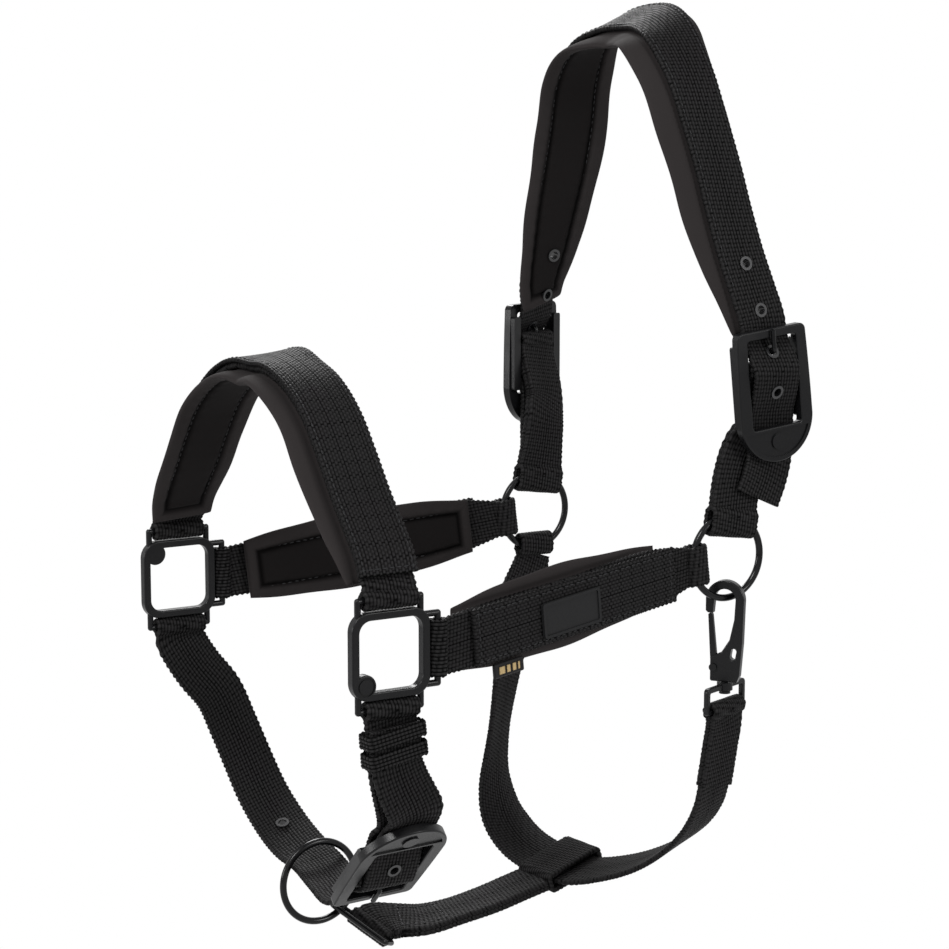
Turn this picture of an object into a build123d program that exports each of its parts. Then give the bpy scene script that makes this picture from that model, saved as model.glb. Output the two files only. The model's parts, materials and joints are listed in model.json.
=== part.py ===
from build123d import *
import os

# A padded webbing headcollar as it sits on a horse's head. Millimetres, +Z up, nose towards -Y, the
# horse's left (near) side at +X. The origin is midway between the centres of the two cheek rings.

os.makedirs("parts", exist_ok=True)

# Webbing and padding
web_width = 25.0
web_thick = 2.4
cover_width = 27.5
cover_thick = 2.0
pad_thick = 4.6
layer_gap = 0.4          # between layers that are sewn together
seat_gap = 0.35          # between webbing and the metal it is looped on

# Overall layout
ring_spread = 79.0       # cheek ring plane from the middle
frame_spread = 99.4      # corner frame plane from the middle
frame_reach = 187.7      # corner frames ahead of the rings
frame_drop = 19.0        # corner frames below the rings
crown_rise = 243.5       # top of the crown strap above the rings

# Rings
ring_radius = 18.7       # to the middle of the wire
ring_wire = 1.6          # wire radius

# Corner frames
frame_side = 36.8
frame_bar = 3.5
frame_deep = 4.6
frame_corner = 8.0
frame_disc = 5.0
loop_wire = 1.4          # half the width of a strap loop's bar
loop_span = web_width + 1.6

# Tongue buckles
buckle_long = 44.5       # from the plate's straight edge to the bar end
buckle_wide = 38.6
buckle_bow = 1.1         # how much wider the sides are beside the plate
buckle_nose = 16.0       # length of the rounded plate
buckle_window = web_width + 2.6
buckle_top_bar = 4.0
buckle_thick = 4.0
cheek_depth = 2.0        # extra depth of the side bars behind the strap
pin_radius = 1.3
pin_place = 26.5         # cross pin from the plate's edge
tongue_radius = 1.1
tongue_width = 3.8

# Eyelets
eyelet_bore = 2.0
eyelet_wall = 0.45
eyelet_flange = 3.2
eyelet_lip = 0.5

# Snap hook
hook_inner = 5.0
hook_band = 4.0
hook_thick = 4.4
hook_tall = 37.8         # base to the middle of the round end
hook_yaw = 35.0
eye_wide = web_width + 7.0
eye_tall = 12.6
eye_wire = 1.2
stem_radius = 1.5

# Where the chin buckle's plate edge sits, and its lead ring
chin_buckle_at = Vector(81.0, 16.3 - frame_reach, -105.2)
chin_buckle_along = Vector(-0.730, 0.043, -0.682)
chin_buckle_across = Vector(-0.026, -0.999, -0.036)
lead_ring_at = Vector(-18.0, 30.2 - frame_reach, -151.0)

loop_reach = frame_side / 2 + seat_gap + web_thick + seat_gap + loop_wire
frame_centre = Vector(frame_spread, -frame_reach, -frame_drop)


def save(piece, name):
    piece.part.label = name
    export_step(piece.part, "parts/" + name + ".step")


def square_to(direction, other):
    """The part of a direction that is square to another one."""
    other = other.normalized()
    return (direction - other * direction.dot(other)).normalized()


def mirrored(point):
    return Vector(-point.X, point.Y, point.Z)


def over_the_top(stations):
    """Stations of one half, then the same half mirrored, from the near side to the far side."""
    far_half = [(mirrored(p), mirrored(a), w) for p, a, w in stations[:-1]]
    return stations + far_half[::-1]


def section_planes(stations):
    """A plane across the strip at each station: X across the strip, Y towards its inner face."""
    planes = []
    for i, (point, across, width) in enumerate(stations):
        before = stations[max(i - 1, 0)][0]
        after = stations[min(i + 1, len(stations) - 1)][0]
        tangent = (after - before).normalized()
        planes.append(Plane(origin=point, x_dir=square_to(across, tangent), z_dir=tangent))
    return planes


def ribbon(stations, thickness, inset=0.0, lean=0.0):
    """A strip of webbing or padding whose outer face runs through the stations.

    Lean is the share of a pad's extra width that sits ahead of the webbing instead of behind it.
    """
    sections = []
    for plane, (point, across, width) in zip(section_planes(stations), stations):
        with BuildSketch(plane) as section:
            with Locations((-lean * (width - web_width) / 2, inset)):
                Rectangle(width, thickness, align=(Align.CENTER, Align.MIN))
        sections.append(section.sketch)
    loft(sections, ruled=True)


def on_strip(stations, index, share):
    """A plane on the strip's outer face between two stations, Z pointing away from the head."""
    (p, a, w), (q, b, v) = stations[index], stations[index + 1]
    tangent = (q - p).normalized()
    across = square_to(a * (1 - share) + b * share, tangent)
    return Plane(origin=p + (q - p) * share, x_dir=across, z_dir=across.cross(tangent))


def eye(centre, along, across, width, wire, drop=0.0):
    """The loop of webbing round a bar; drop is the room for a ring's curve towards its middle."""
    plane = Plane(origin=centre - along * drop / 2, x_dir=along, z_dir=across)
    inner = wire + seat_gap
    with BuildSketch(plane) as loop:
        if drop:
            SlotCenterToCenter(drop, 2 * (inner + web_thick))
            SlotCenterToCenter(drop, 2 * inner, mode=Mode.SUBTRACT)
        else:
            Circle(inner + web_thick)
            Circle(inner, mode=Mode.SUBTRACT)
    extrude(loop.sketch, amount=width / 2, both=True)


def ring_drop(width):
    """How far a ring's wire curves inward across a strap of this width."""
    return ring_radius - (ring_radius ** 2 - (width / 2) ** 2) ** 0.5


def ring_eye(centre, along, across, width):
    """A strap's loop round the wire of a ring, on the side that along points to."""
    eye(centre + along * ring_radius, along, across, width, ring_wire, ring_drop(width) + 0.6)


def hole(plane, radius, depth):
    with BuildSketch(plane) as disc:
        Circle(radius)
    extrude(disc.sketch, amount=depth, both=True, mode=Mode.SUBTRACT)


def eyelet(plane, thickness):
    """A hollow rivet through a strip of this thickness, its axis along the plane's Z."""
    barrel = eyelet_bore + eyelet_wall
    lift = 0.15
    with BuildSketch(plane.offset(-thickness - lift)) as tube:
        Circle(barrel)
        Circle(eyelet_bore, mode=Mode.SUBTRACT)
    extrude(tube.sketch, amount=thickness + 2 * lift)
    for height, sign in ((lift, 1), (-thickness - lift, -1)):
        with BuildSketch(plane.offset(height)) as flange:
            Circle(eyelet_flange)
            Circle(eyelet_bore, mode=Mode.SUBTRACT)
        extrude(flange.sketch, amount=sign * eyelet_lip)


# ---- Tongue buckle, in its own plane: X across, Y from the plate towards the bar end, Z outward.
# The strap's outer face passes the bar end and the plate at Z = 0.

def buckle_plane(origin, across, along):
    level = square_to(across, along)
    return Plane(origin=origin, x_dir=level, z_dir=level.cross(along))


near_buckle = buckle_plane(Vector(84.5, 20.5, 59.0), Vector(0, 0.994, 0.11), Vector(0, -0.11, 0.994))
far_buckle = buckle_plane(Vector(-87.0, 5.0, 59.0), Vector(0.35, -0.937, 0), Vector(0, 0, 1))
chin_buckle = buckle_plane(chin_buckle_at, chin_buckle_across, chin_buckle_along)
pin_level = 0.2
strap_bulge = pin_level + pin_radius + seat_gap + 2 * web_thick + 0.9


def in_buckle(plane, along, out, across=0.0):
    return plane.from_local_coords(Vector(across, along, out))


def through_buckle(plane, tail, swing=0.0):
    """Outer face of the strap that the tongue holds, from its tail end to past the bar end.

    Swing is how far the tail has bent sideways 30 mm from the plate's edge.
    """
    bar = buckle_long - buckle_top_bar
    profile = [(-23.0, -0.2), (-buckle_nose, -0.1), (-1.0, -0.1), (5.5, 1.0), (12.0, 3.6),
               (19.0, 6.2), (pin_place, strap_bulge), (30.0, 5.9), (34.0, 3.6), (bar - 0.5, 0.1),
               (buckle_long + 1.5, -0.3)]
    profile = [(-tail, -0.3)] + [(v, n) for v, n in profile if v > -tail]
    return [(in_buckle(plane, v, n, swing * (min(v, 0) / 30) ** 2), plane.x_dir, web_width)
            for v, n in profile]


def buckle_frame(plane):
    half = buckle_wide / 2
    wide = half + buckle_bow
    top = buckle_long
    face = 0.4
    with BuildPart() as frame:
        with BuildSketch(plane.offset(face)) as outline:
            with BuildLine():
                corner = 3.0
                Line((-half + corner, top), (half - corner, top))
                RadiusArc((half - corner, top), (half, top - corner), corner)
                ThreePointArc((half, top - corner), (half + buckle_bow * 0.7, top / 2), (wide, 3.0))
                ThreePointArc((wide, 3.0), (0, -buckle_nose), (-wide, 3.0))
                ThreePointArc((-wide, 3.0), (-half - buckle_bow * 0.7, top / 2), (-half, top - corner))
                RadiusArc((-half, top - corner), (-half + corner, top), corner)
            make_face()
            with Locations((0, (top - buckle_top_bar) / 2)):
                RectangleRounded(buckle_window, top - buckle_top_bar, 1.5, mode=Mode.SUBTRACT)
        extrude(amount=buckle_thick)
        rounds = frame.edges().filter_by(GeomType.CIRCLE)
        fillet(rounds.group_by(Axis(plane.origin, plane.z_dir))[-1], 0.7)
        # side bars reach behind the strap to carry the cross pin
        for sign in (-1, 1):
            with BuildSketch(plane.offset(-cheek_depth)):
                middle = (half + buckle_window / 2 + 0.2) / 2
                with Locations((sign * middle, (top - buckle_top_bar) / 2)):
                    RectangleRounded(half - buckle_window / 2 - 0.2, top - buckle_top_bar - 4.0, 1.2)
            extrude(amount=cheek_depth + face + 0.5)
        # recess of the plate, with a plain raised disc
        with BuildSketch(plane.offset(face + buckle_thick)):
            with BuildLine():
                Line((-wide + 3.2, -1.6), (wide - 3.2, -1.6))
                ThreePointArc((wide - 3.2, -1.6), (0, -buckle_nose + 2.2), (-wide + 3.2, -1.6))
            make_face()
            with Locations((0, -6.8)):
                Circle(3.7, mode=Mode.SUBTRACT)
        extrude(amount=-0.7, mode=Mode.SUBTRACT)
        # seat that the tongue's tip lies in
        groove = Plane(origin=in_buckle(plane, top + 1, face + buckle_thick + 0.9), z_dir=-plane.y_dir)
        with BuildSketch(groove):
            Circle(tongue_radius + 0.35)
        extrude(amount=buckle_top_bar + 2, mode=Mode.SUBTRACT)
        bore = Plane(origin=in_buckle(plane, pin_place, pin_level), z_dir=plane.x_dir)
        with BuildSketch(bore):
            Circle(pin_radius + 0.02)
        extrude(amount=half - 0.8, both=True, mode=Mode.SUBTRACT)
    return frame


def buckle_pin(plane):
    with BuildPart() as pin:
        with BuildSketch(Plane(origin=in_buckle(plane, pin_place, pin_level), z_dir=plane.x_dir)):
            Circle(pin_radius)
        extrude(amount=buckle_wide / 2 - 1.0, both=True)
    return pin


def buckle_tongue(plane):
    grip = pin_radius + 0.08
    middle = Plane(origin=in_buckle(plane, pin_place, pin_level), x_dir=plane.y_dir, z_dir=plane.x_dir)
    rest = buckle_thick + 0.4 + 1.05 - pin_level
    reach = buckle_long - pin_place - 0.6
    with BuildPart() as tongue:
        with BuildSketch(middle):
            Circle(grip + 1.5)
            Circle(grip, mode=Mode.SUBTRACT)
        extrude(amount=tongue_width / 2, both=True)
        with BuildLine(middle) as route:
            FilletPolyline((grip + 0.7, -0.9), (5.05, -1.3), (8.45, rest), (reach, rest), radius=1.5)
        with BuildSketch(Plane(origin=route.line @ 0, z_dir=route.line % 0)):
            Circle(tongue_radius)
        sweep()
    return tongue


def notch_for_tongue(plane):
    """Gap in a strap's loop where the tongue grips the pin."""
    spot = Plane(origin=in_buckle(plane, pin_place + 1.5, pin_level), x_dir=plane.x_dir, z_dir=plane.z_dir)
    with BuildSketch(spot) as slot:
        Rectangle(tongue_width + 1.4, 10.6)
    extrude(slot.sketch, amount=8, both=True, mode=Mode.SUBTRACT)


def strap_to_pin(plane, ends):
    """Middle line of the doubled strap that hangs on the pin, from the pin to the given stations."""
    profile = [(pin_place - pin_radius - seat_gap - 1.0, -0.2), (19.0, -1.0), (12.0, -2.8), (6.0, -5.0),
               (0.0, -6.2)]
    return [(in_buckle(plane, v, n), plane.x_dir, web_width) for v, n in profile] + ends


# ---- Crown: the near side's stations from its tail to the top, then the far side's down to its tail
def leg(rise):
    return [(Vector(x, y, z), Vector(turn, 1, tilt), web_width) for x, y, z, turn, tilt in rise]


near_rise = [(81.6, 11.8, 119.0, 0, 0.11), (77.2, 8.2, 135.0, 0, 0.11), (72.2, 5.4, 153.0, 0, 0.10),
             (66.4, 3.2, 173.0, 0, 0.11), (59.6, 0.8, 193.0, 0, 0.14), (50.5, -2.0, 216.0, 0, 0.24),
             (37.0, -2.6, 233.0, 0, 0.34), (19.5, 1.6, crown_rise - 2.3, 0, 0.46)]
far_rise = [(-83.5, 4.8, 116.0, -0.15, 0.0), (-79.5, 8.2, 133.0, 0.08, 0.0),
            (-74.5, 11.0, 152.0, 0.26, 0.0), (-68.0, 12.6, 173.0, 0.36, 0.04),
            (-61.0, 11.6, 193.0, 0.36, 0.10), (-51.0, 7.2, 216.0, 0.25, 0.20),
            (-37.0, 3.4, 233.0, 0.12, 0.34), (-19.5, 3.8, crown_rise - 2.3, 0.04, 0.46)]
crown_top = [(Vector(0, 5.5, crown_rise), Vector(0, 1, 0.52), web_width)]
far_side = [(p, a * -1, w) for p, a, w in through_buckle(far_buckle, 27.0)] + leg(far_rise)
crown = through_buckle(near_buckle, 32.0, -9.0) + leg(near_rise) + crown_top + far_side[::-1]
in_window = (5, 0.55)    # eyelet place: strip between two stations and share of it, in the buckle's window
at_tongue = (8, 0.96)    # eyelet that the tongue passes through
above_buckle = ((11, 0.45), (12, 0.80))
pad_from = 11            # first station that the padding reaches
near_pad_widths = [28.0, 31.0, 35.0, 38.0, 39.5, 40.0, 40.0, 39.5, 39.0]
far_pad_widths = [28.0, 29.5, 31.5, 33.5, 35.0, 36.0, 37.0, 38.0, 38.5]
pad_lean = 0.58


def crown_spots(places):
    """Planes on the crown strap at these places of the near side and the same ones of the far side."""
    near = [on_strip(crown, index, share) for index, share in places]
    far = [on_strip(crown, len(crown) - 2 - index, 1 - share) for index, share in places]
    return near + far


single_holes = crown_spots((in_window, at_tongue))
double_holes = crown_spots(above_buckle)
pad_inset = web_thick + layer_gap

with BuildPart() as crown_strap:
    ribbon(crown, web_thick)
    for spot in single_holes + double_holes:
        hole(spot, eyelet_bore + eyelet_wall + 0.1, 4.5)
save(crown_strap, "crown_strap")

crown_pad_widths = near_pad_widths + [38.5] + far_pad_widths[::-1]
crown_pad_path = [(p, a, w) for (p, a, _), w in zip(crown[pad_from:], crown_pad_widths)]
with BuildPart() as crown_pad:
    ribbon(crown_pad_path, pad_thick, pad_inset, pad_lean)
    for spot in double_holes:
        hole(spot, eyelet_bore + eyelet_wall + 0.1, 12)
save(crown_pad, "crown_pad")

with BuildPart() as crown_eyelets:
    for spot in single_holes:
        eyelet(spot, web_thick)
    for spot in double_holes:
        eyelet(spot, pad_inset + pad_thick)
save(crown_eyelets, "crown_eyelets")

# ---- Upper cheek straps: from the crown buckle's pin down to the cheek ring
ring_top = Vector(0, 0.136, 0.991)
near_bends = [(78.9, 9.5, 47.0, 0.0), (79.0, 4.8, 34.0, 0.0)]
far_bends = [(-77.2, 4.6, 47.0, 0.25), (-78.0, 3.8, 34.0, 0.16)]
for side, name, plane, bends in ((1, "near", near_buckle, near_bends), (-1, "far", far_buckle, far_bends)):
    ring_centre = Vector(side * ring_spread, 0, 0)
    ring_across = Vector(0, side * 0.991, side * -0.136)
    down = [(Vector(x, y, z), Vector(turn, side, side * -0.19), web_width) for x, y, z, turn in bends]
    down += [(ring_centre + ring_top * (ring_radius + ring_wire + seat_gap + 1.2), ring_across, web_width)]
    with BuildPart() as upper_strap:
        ribbon(strap_to_pin(plane, down), 2 * web_thick, -web_thick)
        eye(in_buckle(plane, pin_place, pin_level), plane.y_dir, plane.x_dir, web_width, pin_radius)
        ring_eye(ring_centre, ring_top, Vector(0, 0.991, -0.136), web_width)
        notch_for_tongue(plane)
    save(upper_strap, name + "_upper_cheek_strap")

# ---- Buckles
for name, plane in (("near_crown", near_buckle), ("far_crown", far_buckle), ("chin", chin_buckle)):
    save(buckle_frame(plane), name + "_buckle")
    save(buckle_pin(plane), name + "_buckle_pin")
    save(buckle_tongue(plane), name + "_tongue")


# ---- Rings
def ring(centre):
    with BuildPart() as hoop:
        wire_at = centre + Vector(0, ring_radius, 0)
        with BuildSketch(Plane(origin=wire_at, x_dir=(0, 1, 0), z_dir=(0, 0, 1))):
            Circle(ring_wire)
        revolve(axis=Axis(centre, (1, 0, 0)), revolution_arc=360)
    return hoop


save(ring(Vector(ring_spread, 0, 0)), "near_cheek_ring")
save(ring(Vector(-ring_spread, 0, 0)), "far_cheek_ring")
save(ring(lead_ring_at), "lead_ring")


# ---- Corner frames: one casting, turned over for the far side
def corner_frame(side):
    middle = (side * frame_spread, -frame_reach, -frame_drop)
    plane = Plane(origin=middle, x_dir=(0, 1, 0), z_dir=(side, 0, 0))
    half = frame_side / 2
    window = frame_side - 2 * frame_bar
    disc_at = half - frame_corner + (frame_corner - frame_disc) * 0.6
    with BuildPart() as frame:
        with BuildSketch(plane.offset(-frame_deep / 2)):
            RectangleRounded(frame_side, frame_side, frame_corner)
            RectangleRounded(window, window, frame_corner - 2.6, mode=Mode.SUBTRACT)
            with Locations((-disc_at, -disc_at)):
                Circle(frame_disc)
        extrude(amount=frame_deep)
        fillet(frame.edges().filter_by(plane), 0.7)
        with BuildSketch(plane.offset(frame_deep / 2)):
            with Locations((-disc_at, -disc_at)):
                Circle(frame_disc - 1.0)
                Circle(frame_disc - 1.9, mode=Mode.SUBTRACT)
        extrude(amount=-0.4, mode=Mode.SUBTRACT)
        # loops of round bar for the straps above, behind and below
        side_bar = loop_span / 2 + loop_wire
        for out in (plane.y_dir, plane.x_dir, plane.y_dir * -1):
            bail = Plane(origin=plane.origin, x_dir=out.cross(plane.z_dir), z_dir=plane.z_dir)
            bar_at = bail.from_local_coords(Vector(0, loop_reach, 0))
            with BuildSketch(Plane(origin=bar_at, z_dir=bail.x_dir)):
                Circle(loop_wire)
            extrude(amount=side_bar, both=True)
            for sign in (-1, 1):
                foot = bail.from_local_coords(Vector(sign * side_bar, half - 2.9, 0))
                with BuildSketch(Plane(origin=foot, z_dir=bail.y_dir)):
                    Circle(loop_wire)
                extrude(amount=loop_reach - half + 2.9)
                with Locations(bail.from_local_coords(Vector(sign * side_bar, loop_reach, 0))):
                    Sphere(loop_wire)
    return frame


save(corner_frame(1), "near_corner_frame")
save(corner_frame(-1), "far_corner_frame")

# ---- Noseband over the nose
top_loop = frame_centre + Vector(0, 0, loop_reach)
nose_rise = [(99.2, 14.0), (95.5, 22.0), (87.5, 32.0), (77.0, 44.0), (66.0, 58.5), (52.0, 75.0),
             (34.0, 87.5), (17.0, 93.2)]
nose_arch = [(Vector(x, -frame_reach + 0.4, z), Vector(0, 1, 0.05), web_width) for x, z in nose_rise]
nose_top = [(Vector(0, -frame_reach + 1.2, 95.0), Vector(0, 1, 0.2), web_width)]
nose_path = over_the_top(nose_arch + nose_top)
wall_out = loop_wire + seat_gap + 1.4
root_out = web_thick + cover_thick / 2
nose_root = [(top_loop + Vector(root_out, 0, wall_out + rise), Vector(0, 1, 0), web_width)
             for rise in (0, 2.4)]
far_root = [(mirrored(p), a, w) for p, a, w in nose_root[::-1]]
base_inset = cover_thick + layer_gap
with BuildPart() as nose_strap:
    ribbon(nose_root + nose_path + far_root, web_thick, base_inset)
    for loop_at in (top_loop, mirrored(top_loop)):
        eye(loop_at, Vector(0, 0, 1), Vector(0, 1, 0), web_width, loop_wire)
save(nose_strap, "nose_strap")

cover_path = [(p, a, cover_width) for p, a, _ in nose_path]
with BuildPart() as nose_cover:
    ribbon(cover_path, cover_thick)
save(nose_cover, "nose_cover")

nose_pad_widths = [30.0, 32.5, 35.0, 36.5, 37.5, 37.5, 37.0, 36.5, 36.0]
nose_pad_half = [(p, a, w) for (p, a, _), w in zip(nose_path, nose_pad_widths)]
with BuildPart() as nose_pad:
    ribbon(over_the_top(nose_pad_half), pad_thick, base_inset + web_thick + layer_gap, pad_lean)
save(nose_pad, "nose_pad")

# ---- Side cheek straps between corner frame and cheek ring
ring_front = Vector(0, -0.992, -0.122)
front_width = 18.0
for side, name in ((1, "near"), (-1, "far")):
    frame_bar_at = Vector(side * frame_spread, -frame_reach + loop_reach, -frame_drop)
    ring_centre = Vector(side * ring_spread, 0, 0)
    ring_seat = ring_centre + ring_front * (ring_radius + ring_wire + seat_gap + 1.2)
    upright = Vector(0, 0.10, 1)
    outward = Vector(side * 2.4, 0, 0)
    start = frame_bar_at + Vector(0, loop_wire + seat_gap + 1.2, 0)
    run = ring_seat - start
    shares = ((0.0, 24.0), (0.09, web_width), (0.5, web_width), (0.9, web_width - 1.0), (1.0, front_width))
    middle = [(start + run * share, upright, width) for share, width in shares]
    if side == 1:
        middle = middle[::-1]
    with BuildPart() as cheek_strap:
        ribbon(middle, web_thick, -web_thick / 2)
        eye(frame_bar_at, Vector(0, 1, 0), Vector(0, 0, 1), 24.0, loop_wire)
        ring_eye(ring_centre, ring_front, Vector(0, -0.122, 0.992), front_width)
    save(cheek_strap, name + "_cheek_strap")
    cover = [(start + run * share, upright, web_width) for share in (0.10, 0.5, 0.92)]
    pad = [(start + run * share, upright, width)
           for share, width in ((0.06, 28.0), (0.2, 33.0), (0.45, 37.0), (0.7, 33.0), (0.88, 27.0))]
    if side == 1:
        cover, pad = cover[::-1], pad[::-1]
    with BuildPart() as cheek_cover:
        ribbon(cover, cover_thick, -web_thick / 2 - layer_gap - cover_thick)
    save(cheek_cover, name + "_cheek_cover")
    with BuildPart() as cheek_pad:
        ribbon(pad, pad_thick, web_thick / 2 + layer_gap)
    save(cheek_pad, name + "_cheek_pad")
    if side == 1:
        skin = web_thick / 2 + layer_gap + cover_thick
        face = on_strip(cover, 1, 0.0)
        badge_at = start + run * 0.475 - Vector(0, 0, 1.6) + face.z_dir * (skin + 0.3)
        badge_plane = Plane(origin=badge_at, x_dir=-run.normalized(), z_dir=face.z_dir)
        with BuildPart() as badge:
            with BuildSketch(badge_plane):
                RectangleRounded(33.0, 15.5, 1.5)
            extrude(amount=1.4)
            with BuildSketch(badge_plane.offset(1.4)):
                RectangleRounded(30.6, 13.1, 0.8)
            extrude(amount=-0.5, mode=Mode.SUBTRACT)
        save(badge, "badge")
        tab_at = start + run * 0.25 - Vector(0, 0, 18.0) - face.z_dir * 0.1
        with BuildPart() as size_tab:
            with BuildSketch(Plane(origin=tab_at, x_dir=run.normalized(), z_dir=face.z_dir)):
                RectangleRounded(16.0, 6.4, 0.6)
            extrude(amount=1.1, both=True)
        save(size_tab, "size_tab")

# ---- Chin strap: from the far frame, through the lead ring, through the chin buckle, to its tail.
# Its stations, the billet's and the keepers' count Y from the frames' centres.
far_bottom = Vector(-frame_spread, -frame_reach + 0.3, -frame_drop - loop_reach)
chin_fall = [(-99.7, 2.1, -52.5, 0.04), (-98.4, 8.7, -63.5, 0.12), (-95.5, 17.7, -76.0, 0.16),
             (-91.5, 23.2, -91.5, 0.18), (-85.0, 27.2, -107.0, 0.22), (-74.0, 29.7, -122.0, 0.28),
             (-57.0, 30.7, -133.5, 0.30), (-38.0, 30.1, -139.8, 0.25), (-18.0, 29.7, -143.4, 0.1),
             (2.0, 26.7, -146.3, 0.06), (24.0, 22.5, -147.0, 0.03)]
chin_back = [(99.3, 11.7, -85.0), (102.0, 6.2, -76.0), (103.2, 2.1, -66.5), (103.6, 0.7, -48.8)]
chin_up = through_buckle(chin_buckle, 19.0)[::-1]
chin_path = [(Vector(x, y - frame_reach, z), Vector(0, 1, tilt), web_width)
             for x, y, z, tilt in chin_fall]
chin_path += [(p, a * -1, w) for p, a, w in chin_up]
chin_path += [(Vector(x, y - frame_reach, z), Vector(-0.1, 1, 0.1), web_width)
              for x, y, z in chin_back]
chin_root = far_bottom - Vector(web_thick / 2, 0, loop_wire + seat_gap + 1.2)
chin_roots = [(chin_root - Vector(0, 0, drop), Vector(0, 1, 0), web_width) for drop in (0, 3.4)]
fall_count = len(chin_fall)
with BuildPart() as chin_strap:
    ribbon(chin_roots + chin_path, web_thick)
    eye(far_bottom, Vector(0, 0, 1), Vector(0, 1, 0), web_width, loop_wire)
    chin_spots = [on_strip(chin_path, 6, 0.15), on_strip(chin_path, fall_count + 2, 0.04),
                  on_strip(chin_path, fall_count + 5, 0.45)]
    for spot in chin_spots:
        hole(spot, eyelet_bore + eyelet_wall + 0.1, 4.5)
save(chin_strap, "chin_strap")

with BuildPart() as chin_eyelets:
    for spot in chin_spots:
        eyelet(spot, web_thick)
save(chin_eyelets, "chin_eyelets")

# ---- Chin billet: from the near frame's bottom loop to the chin buckle's pin
near_bottom = Vector(frame_spread, -frame_reach + 0.5, -frame_drop - loop_reach)
billet_run = [(85.2, 14.3, -93.0), (91.4, 10.3, -84.8), (95.6, 5.7, -75.5), (98.0, 2.2, -65.0),
              (98.9, 0.8, -53.0)]
billet_end = near_bottom - Vector(0, 0, loop_wire + seat_gap + 1.2)
billet_rise = [(Vector(x, y - frame_reach, z), Vector(0.1, -1, -0.1), web_width)
               for x, y, z in billet_run]
billet_rise += [(billet_end, Vector(0, -1, 0), web_width)]
billet_pin = in_buckle(chin_buckle, pin_place, pin_level)
with BuildPart() as chin_billet:
    ribbon(strap_to_pin(chin_buckle, billet_rise), web_thick, -web_thick / 2)
    eye(billet_pin, chin_buckle.y_dir, chin_buckle.x_dir, web_width, pin_radius)
    eye(near_bottom, Vector(0, 0, 1), Vector(0, 1, 0), web_width, loop_wire)
    notch_for_tongue(chin_buckle)
save(chin_billet, "chin_billet")

with BuildPart() as chin_keepers:
    for (x, y, z) in ((100.65, 0.7, -52.4), (100.3, 1.6, -60.7)):
        band = Plane(origin=(x, y - frame_reach, z), x_dir=(1, 0.105, -0.047), z_dir=(0.06, -0.12, 1))
        with BuildSketch(band.offset(-3.2)):
            RectangleRounded(2 * web_thick + 5.0, web_width + 4.2, 1.6)
            RectangleRounded(2 * web_thick + 2.6, web_width + 1.8, 0.4, mode=Mode.SUBTRACT)
        extrude(amount=6.4)
save(chin_keepers, "chin_keepers")

# ---- Wire link between the lead ring and the jaw strap
link_along = Vector(0.80, 0.42, -0.42).normalized()
link_across = square_to(Vector(0.573, -0.748, 0.336), link_along)
link_wire = 1.3
link_long = web_width + 7.0
link_short = 10.0
ring_low = lead_ring_at + Vector(0, 0.6, -0.8) * ring_radius
link_centre = ring_low + link_along * (link_long / 2 - link_wire - ring_wire - 0.5)
with BuildPart() as jaw_link:
    link_plane = Plane(origin=link_centre, x_dir=link_along, z_dir=link_along.cross(link_across))
    with BuildLine(link_plane) as link_route:
        half_long, half_short = link_long / 2, link_short / 2
        FilletPolyline((half_long, half_short), (half_long, -half_short), (-half_long, -half_short),
                       (-half_long, half_short), radius=2.2, close=True)
    with BuildSketch(Plane(origin=link_route.line @ 0, z_dir=link_route.line % 0)):
        Circle(link_wire)
    sweep()
save(jaw_link, "jaw_link")

# ---- Throat strap: from the snap hook's eye on the near side, under the throat, to the far cheek ring
ring_foot = Vector(ring_spread, 0, -ring_radius)
hook_base = ring_foot - Vector(0, 0, hook_tall + 0.8)
eye_across = Vector(-0.35, 0.937, 0).normalized()
eye_top = hook_base - Vector(0, 0, 2.15)
eye_foot = eye_top - Vector(0, 0, eye_tall - 2 * eye_wire)
throat_run = [(78.9, -5.2, -104.0, -0.35, 0.0), (77.6, -6.6, -113.0, -0.33, 0.05),
              (72.3, -9.0, -124.0, -0.28, 0.15), (63.0, -12.8, -134.5, -0.20, 0.25),
              (50.0, -19.0, -144.5, -0.12, 0.30), (32.0, -28.0, -153.0, -0.05, 0.30),
              (14.5, -35.2, -157.6, 0.0, 0.30), (0.0, -36.0, -158.0, 0.0, 0.30),
              (-14.5, -36.6, -157.8, 0.0, 0.30), (-32.0, -37.0, -155.0, -0.14, 0.28),
              (-49.0, -35.4, -148.5, -0.36, 0.27), (-62.0, -32.0, -138.5, -0.58, 0.26),
              (-70.5, -28.0, -125.5, -0.68, 0.25), (-75.0, -23.5, -110.0, -0.68, 0.22),
              (-77.4, -18.6, -90.0, -0.56, 0.16), (-78.6, -13.6, -66.0, -0.30, 0.05),
              (-79.0, -9.0, -44.0, -0.08, -0.05)]
throat_path = [(Vector(x, y, z), Vector(wx, 0.95, wz), web_width) for x, y, z, wx, wz in throat_run]
ring_foot_width = 19.0
far_foot = Vector(-ring_spread, 0, -ring_radius - ring_wire - seat_gap - 1.2)
throat_end = [(far_foot - Vector(0, 3.0, 9.0), Vector(0, 1, -0.1), 22.0),
              (far_foot, Vector(0, 1, 0), ring_foot_width)]
fold_top = eye_foot - Vector(0, 0, eye_wire + seat_gap + 1.2)
fold_run = (fold_top, fold_top - Vector(0, 0, 2.4), Vector(79.0, -2.2, -88.0), Vector(78.9, -5.3, -105.0))
fold = [(point, eye_across, web_width) for point in fold_run]
with BuildPart() as throat_strap:
    ribbon(throat_path + throat_end, web_thick, -web_thick / 2)
    ribbon(fold, 2 * web_thick, -web_thick)
    eye(eye_foot, Vector(0, 0, 1), eye_across, web_width, eye_wire + 0.2)
    ring_eye(Vector(-ring_spread, 0, 0), Vector(0, 0, -1), Vector(0, 1, 0), ring_foot_width)
save(throat_strap, "throat_strap")

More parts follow.
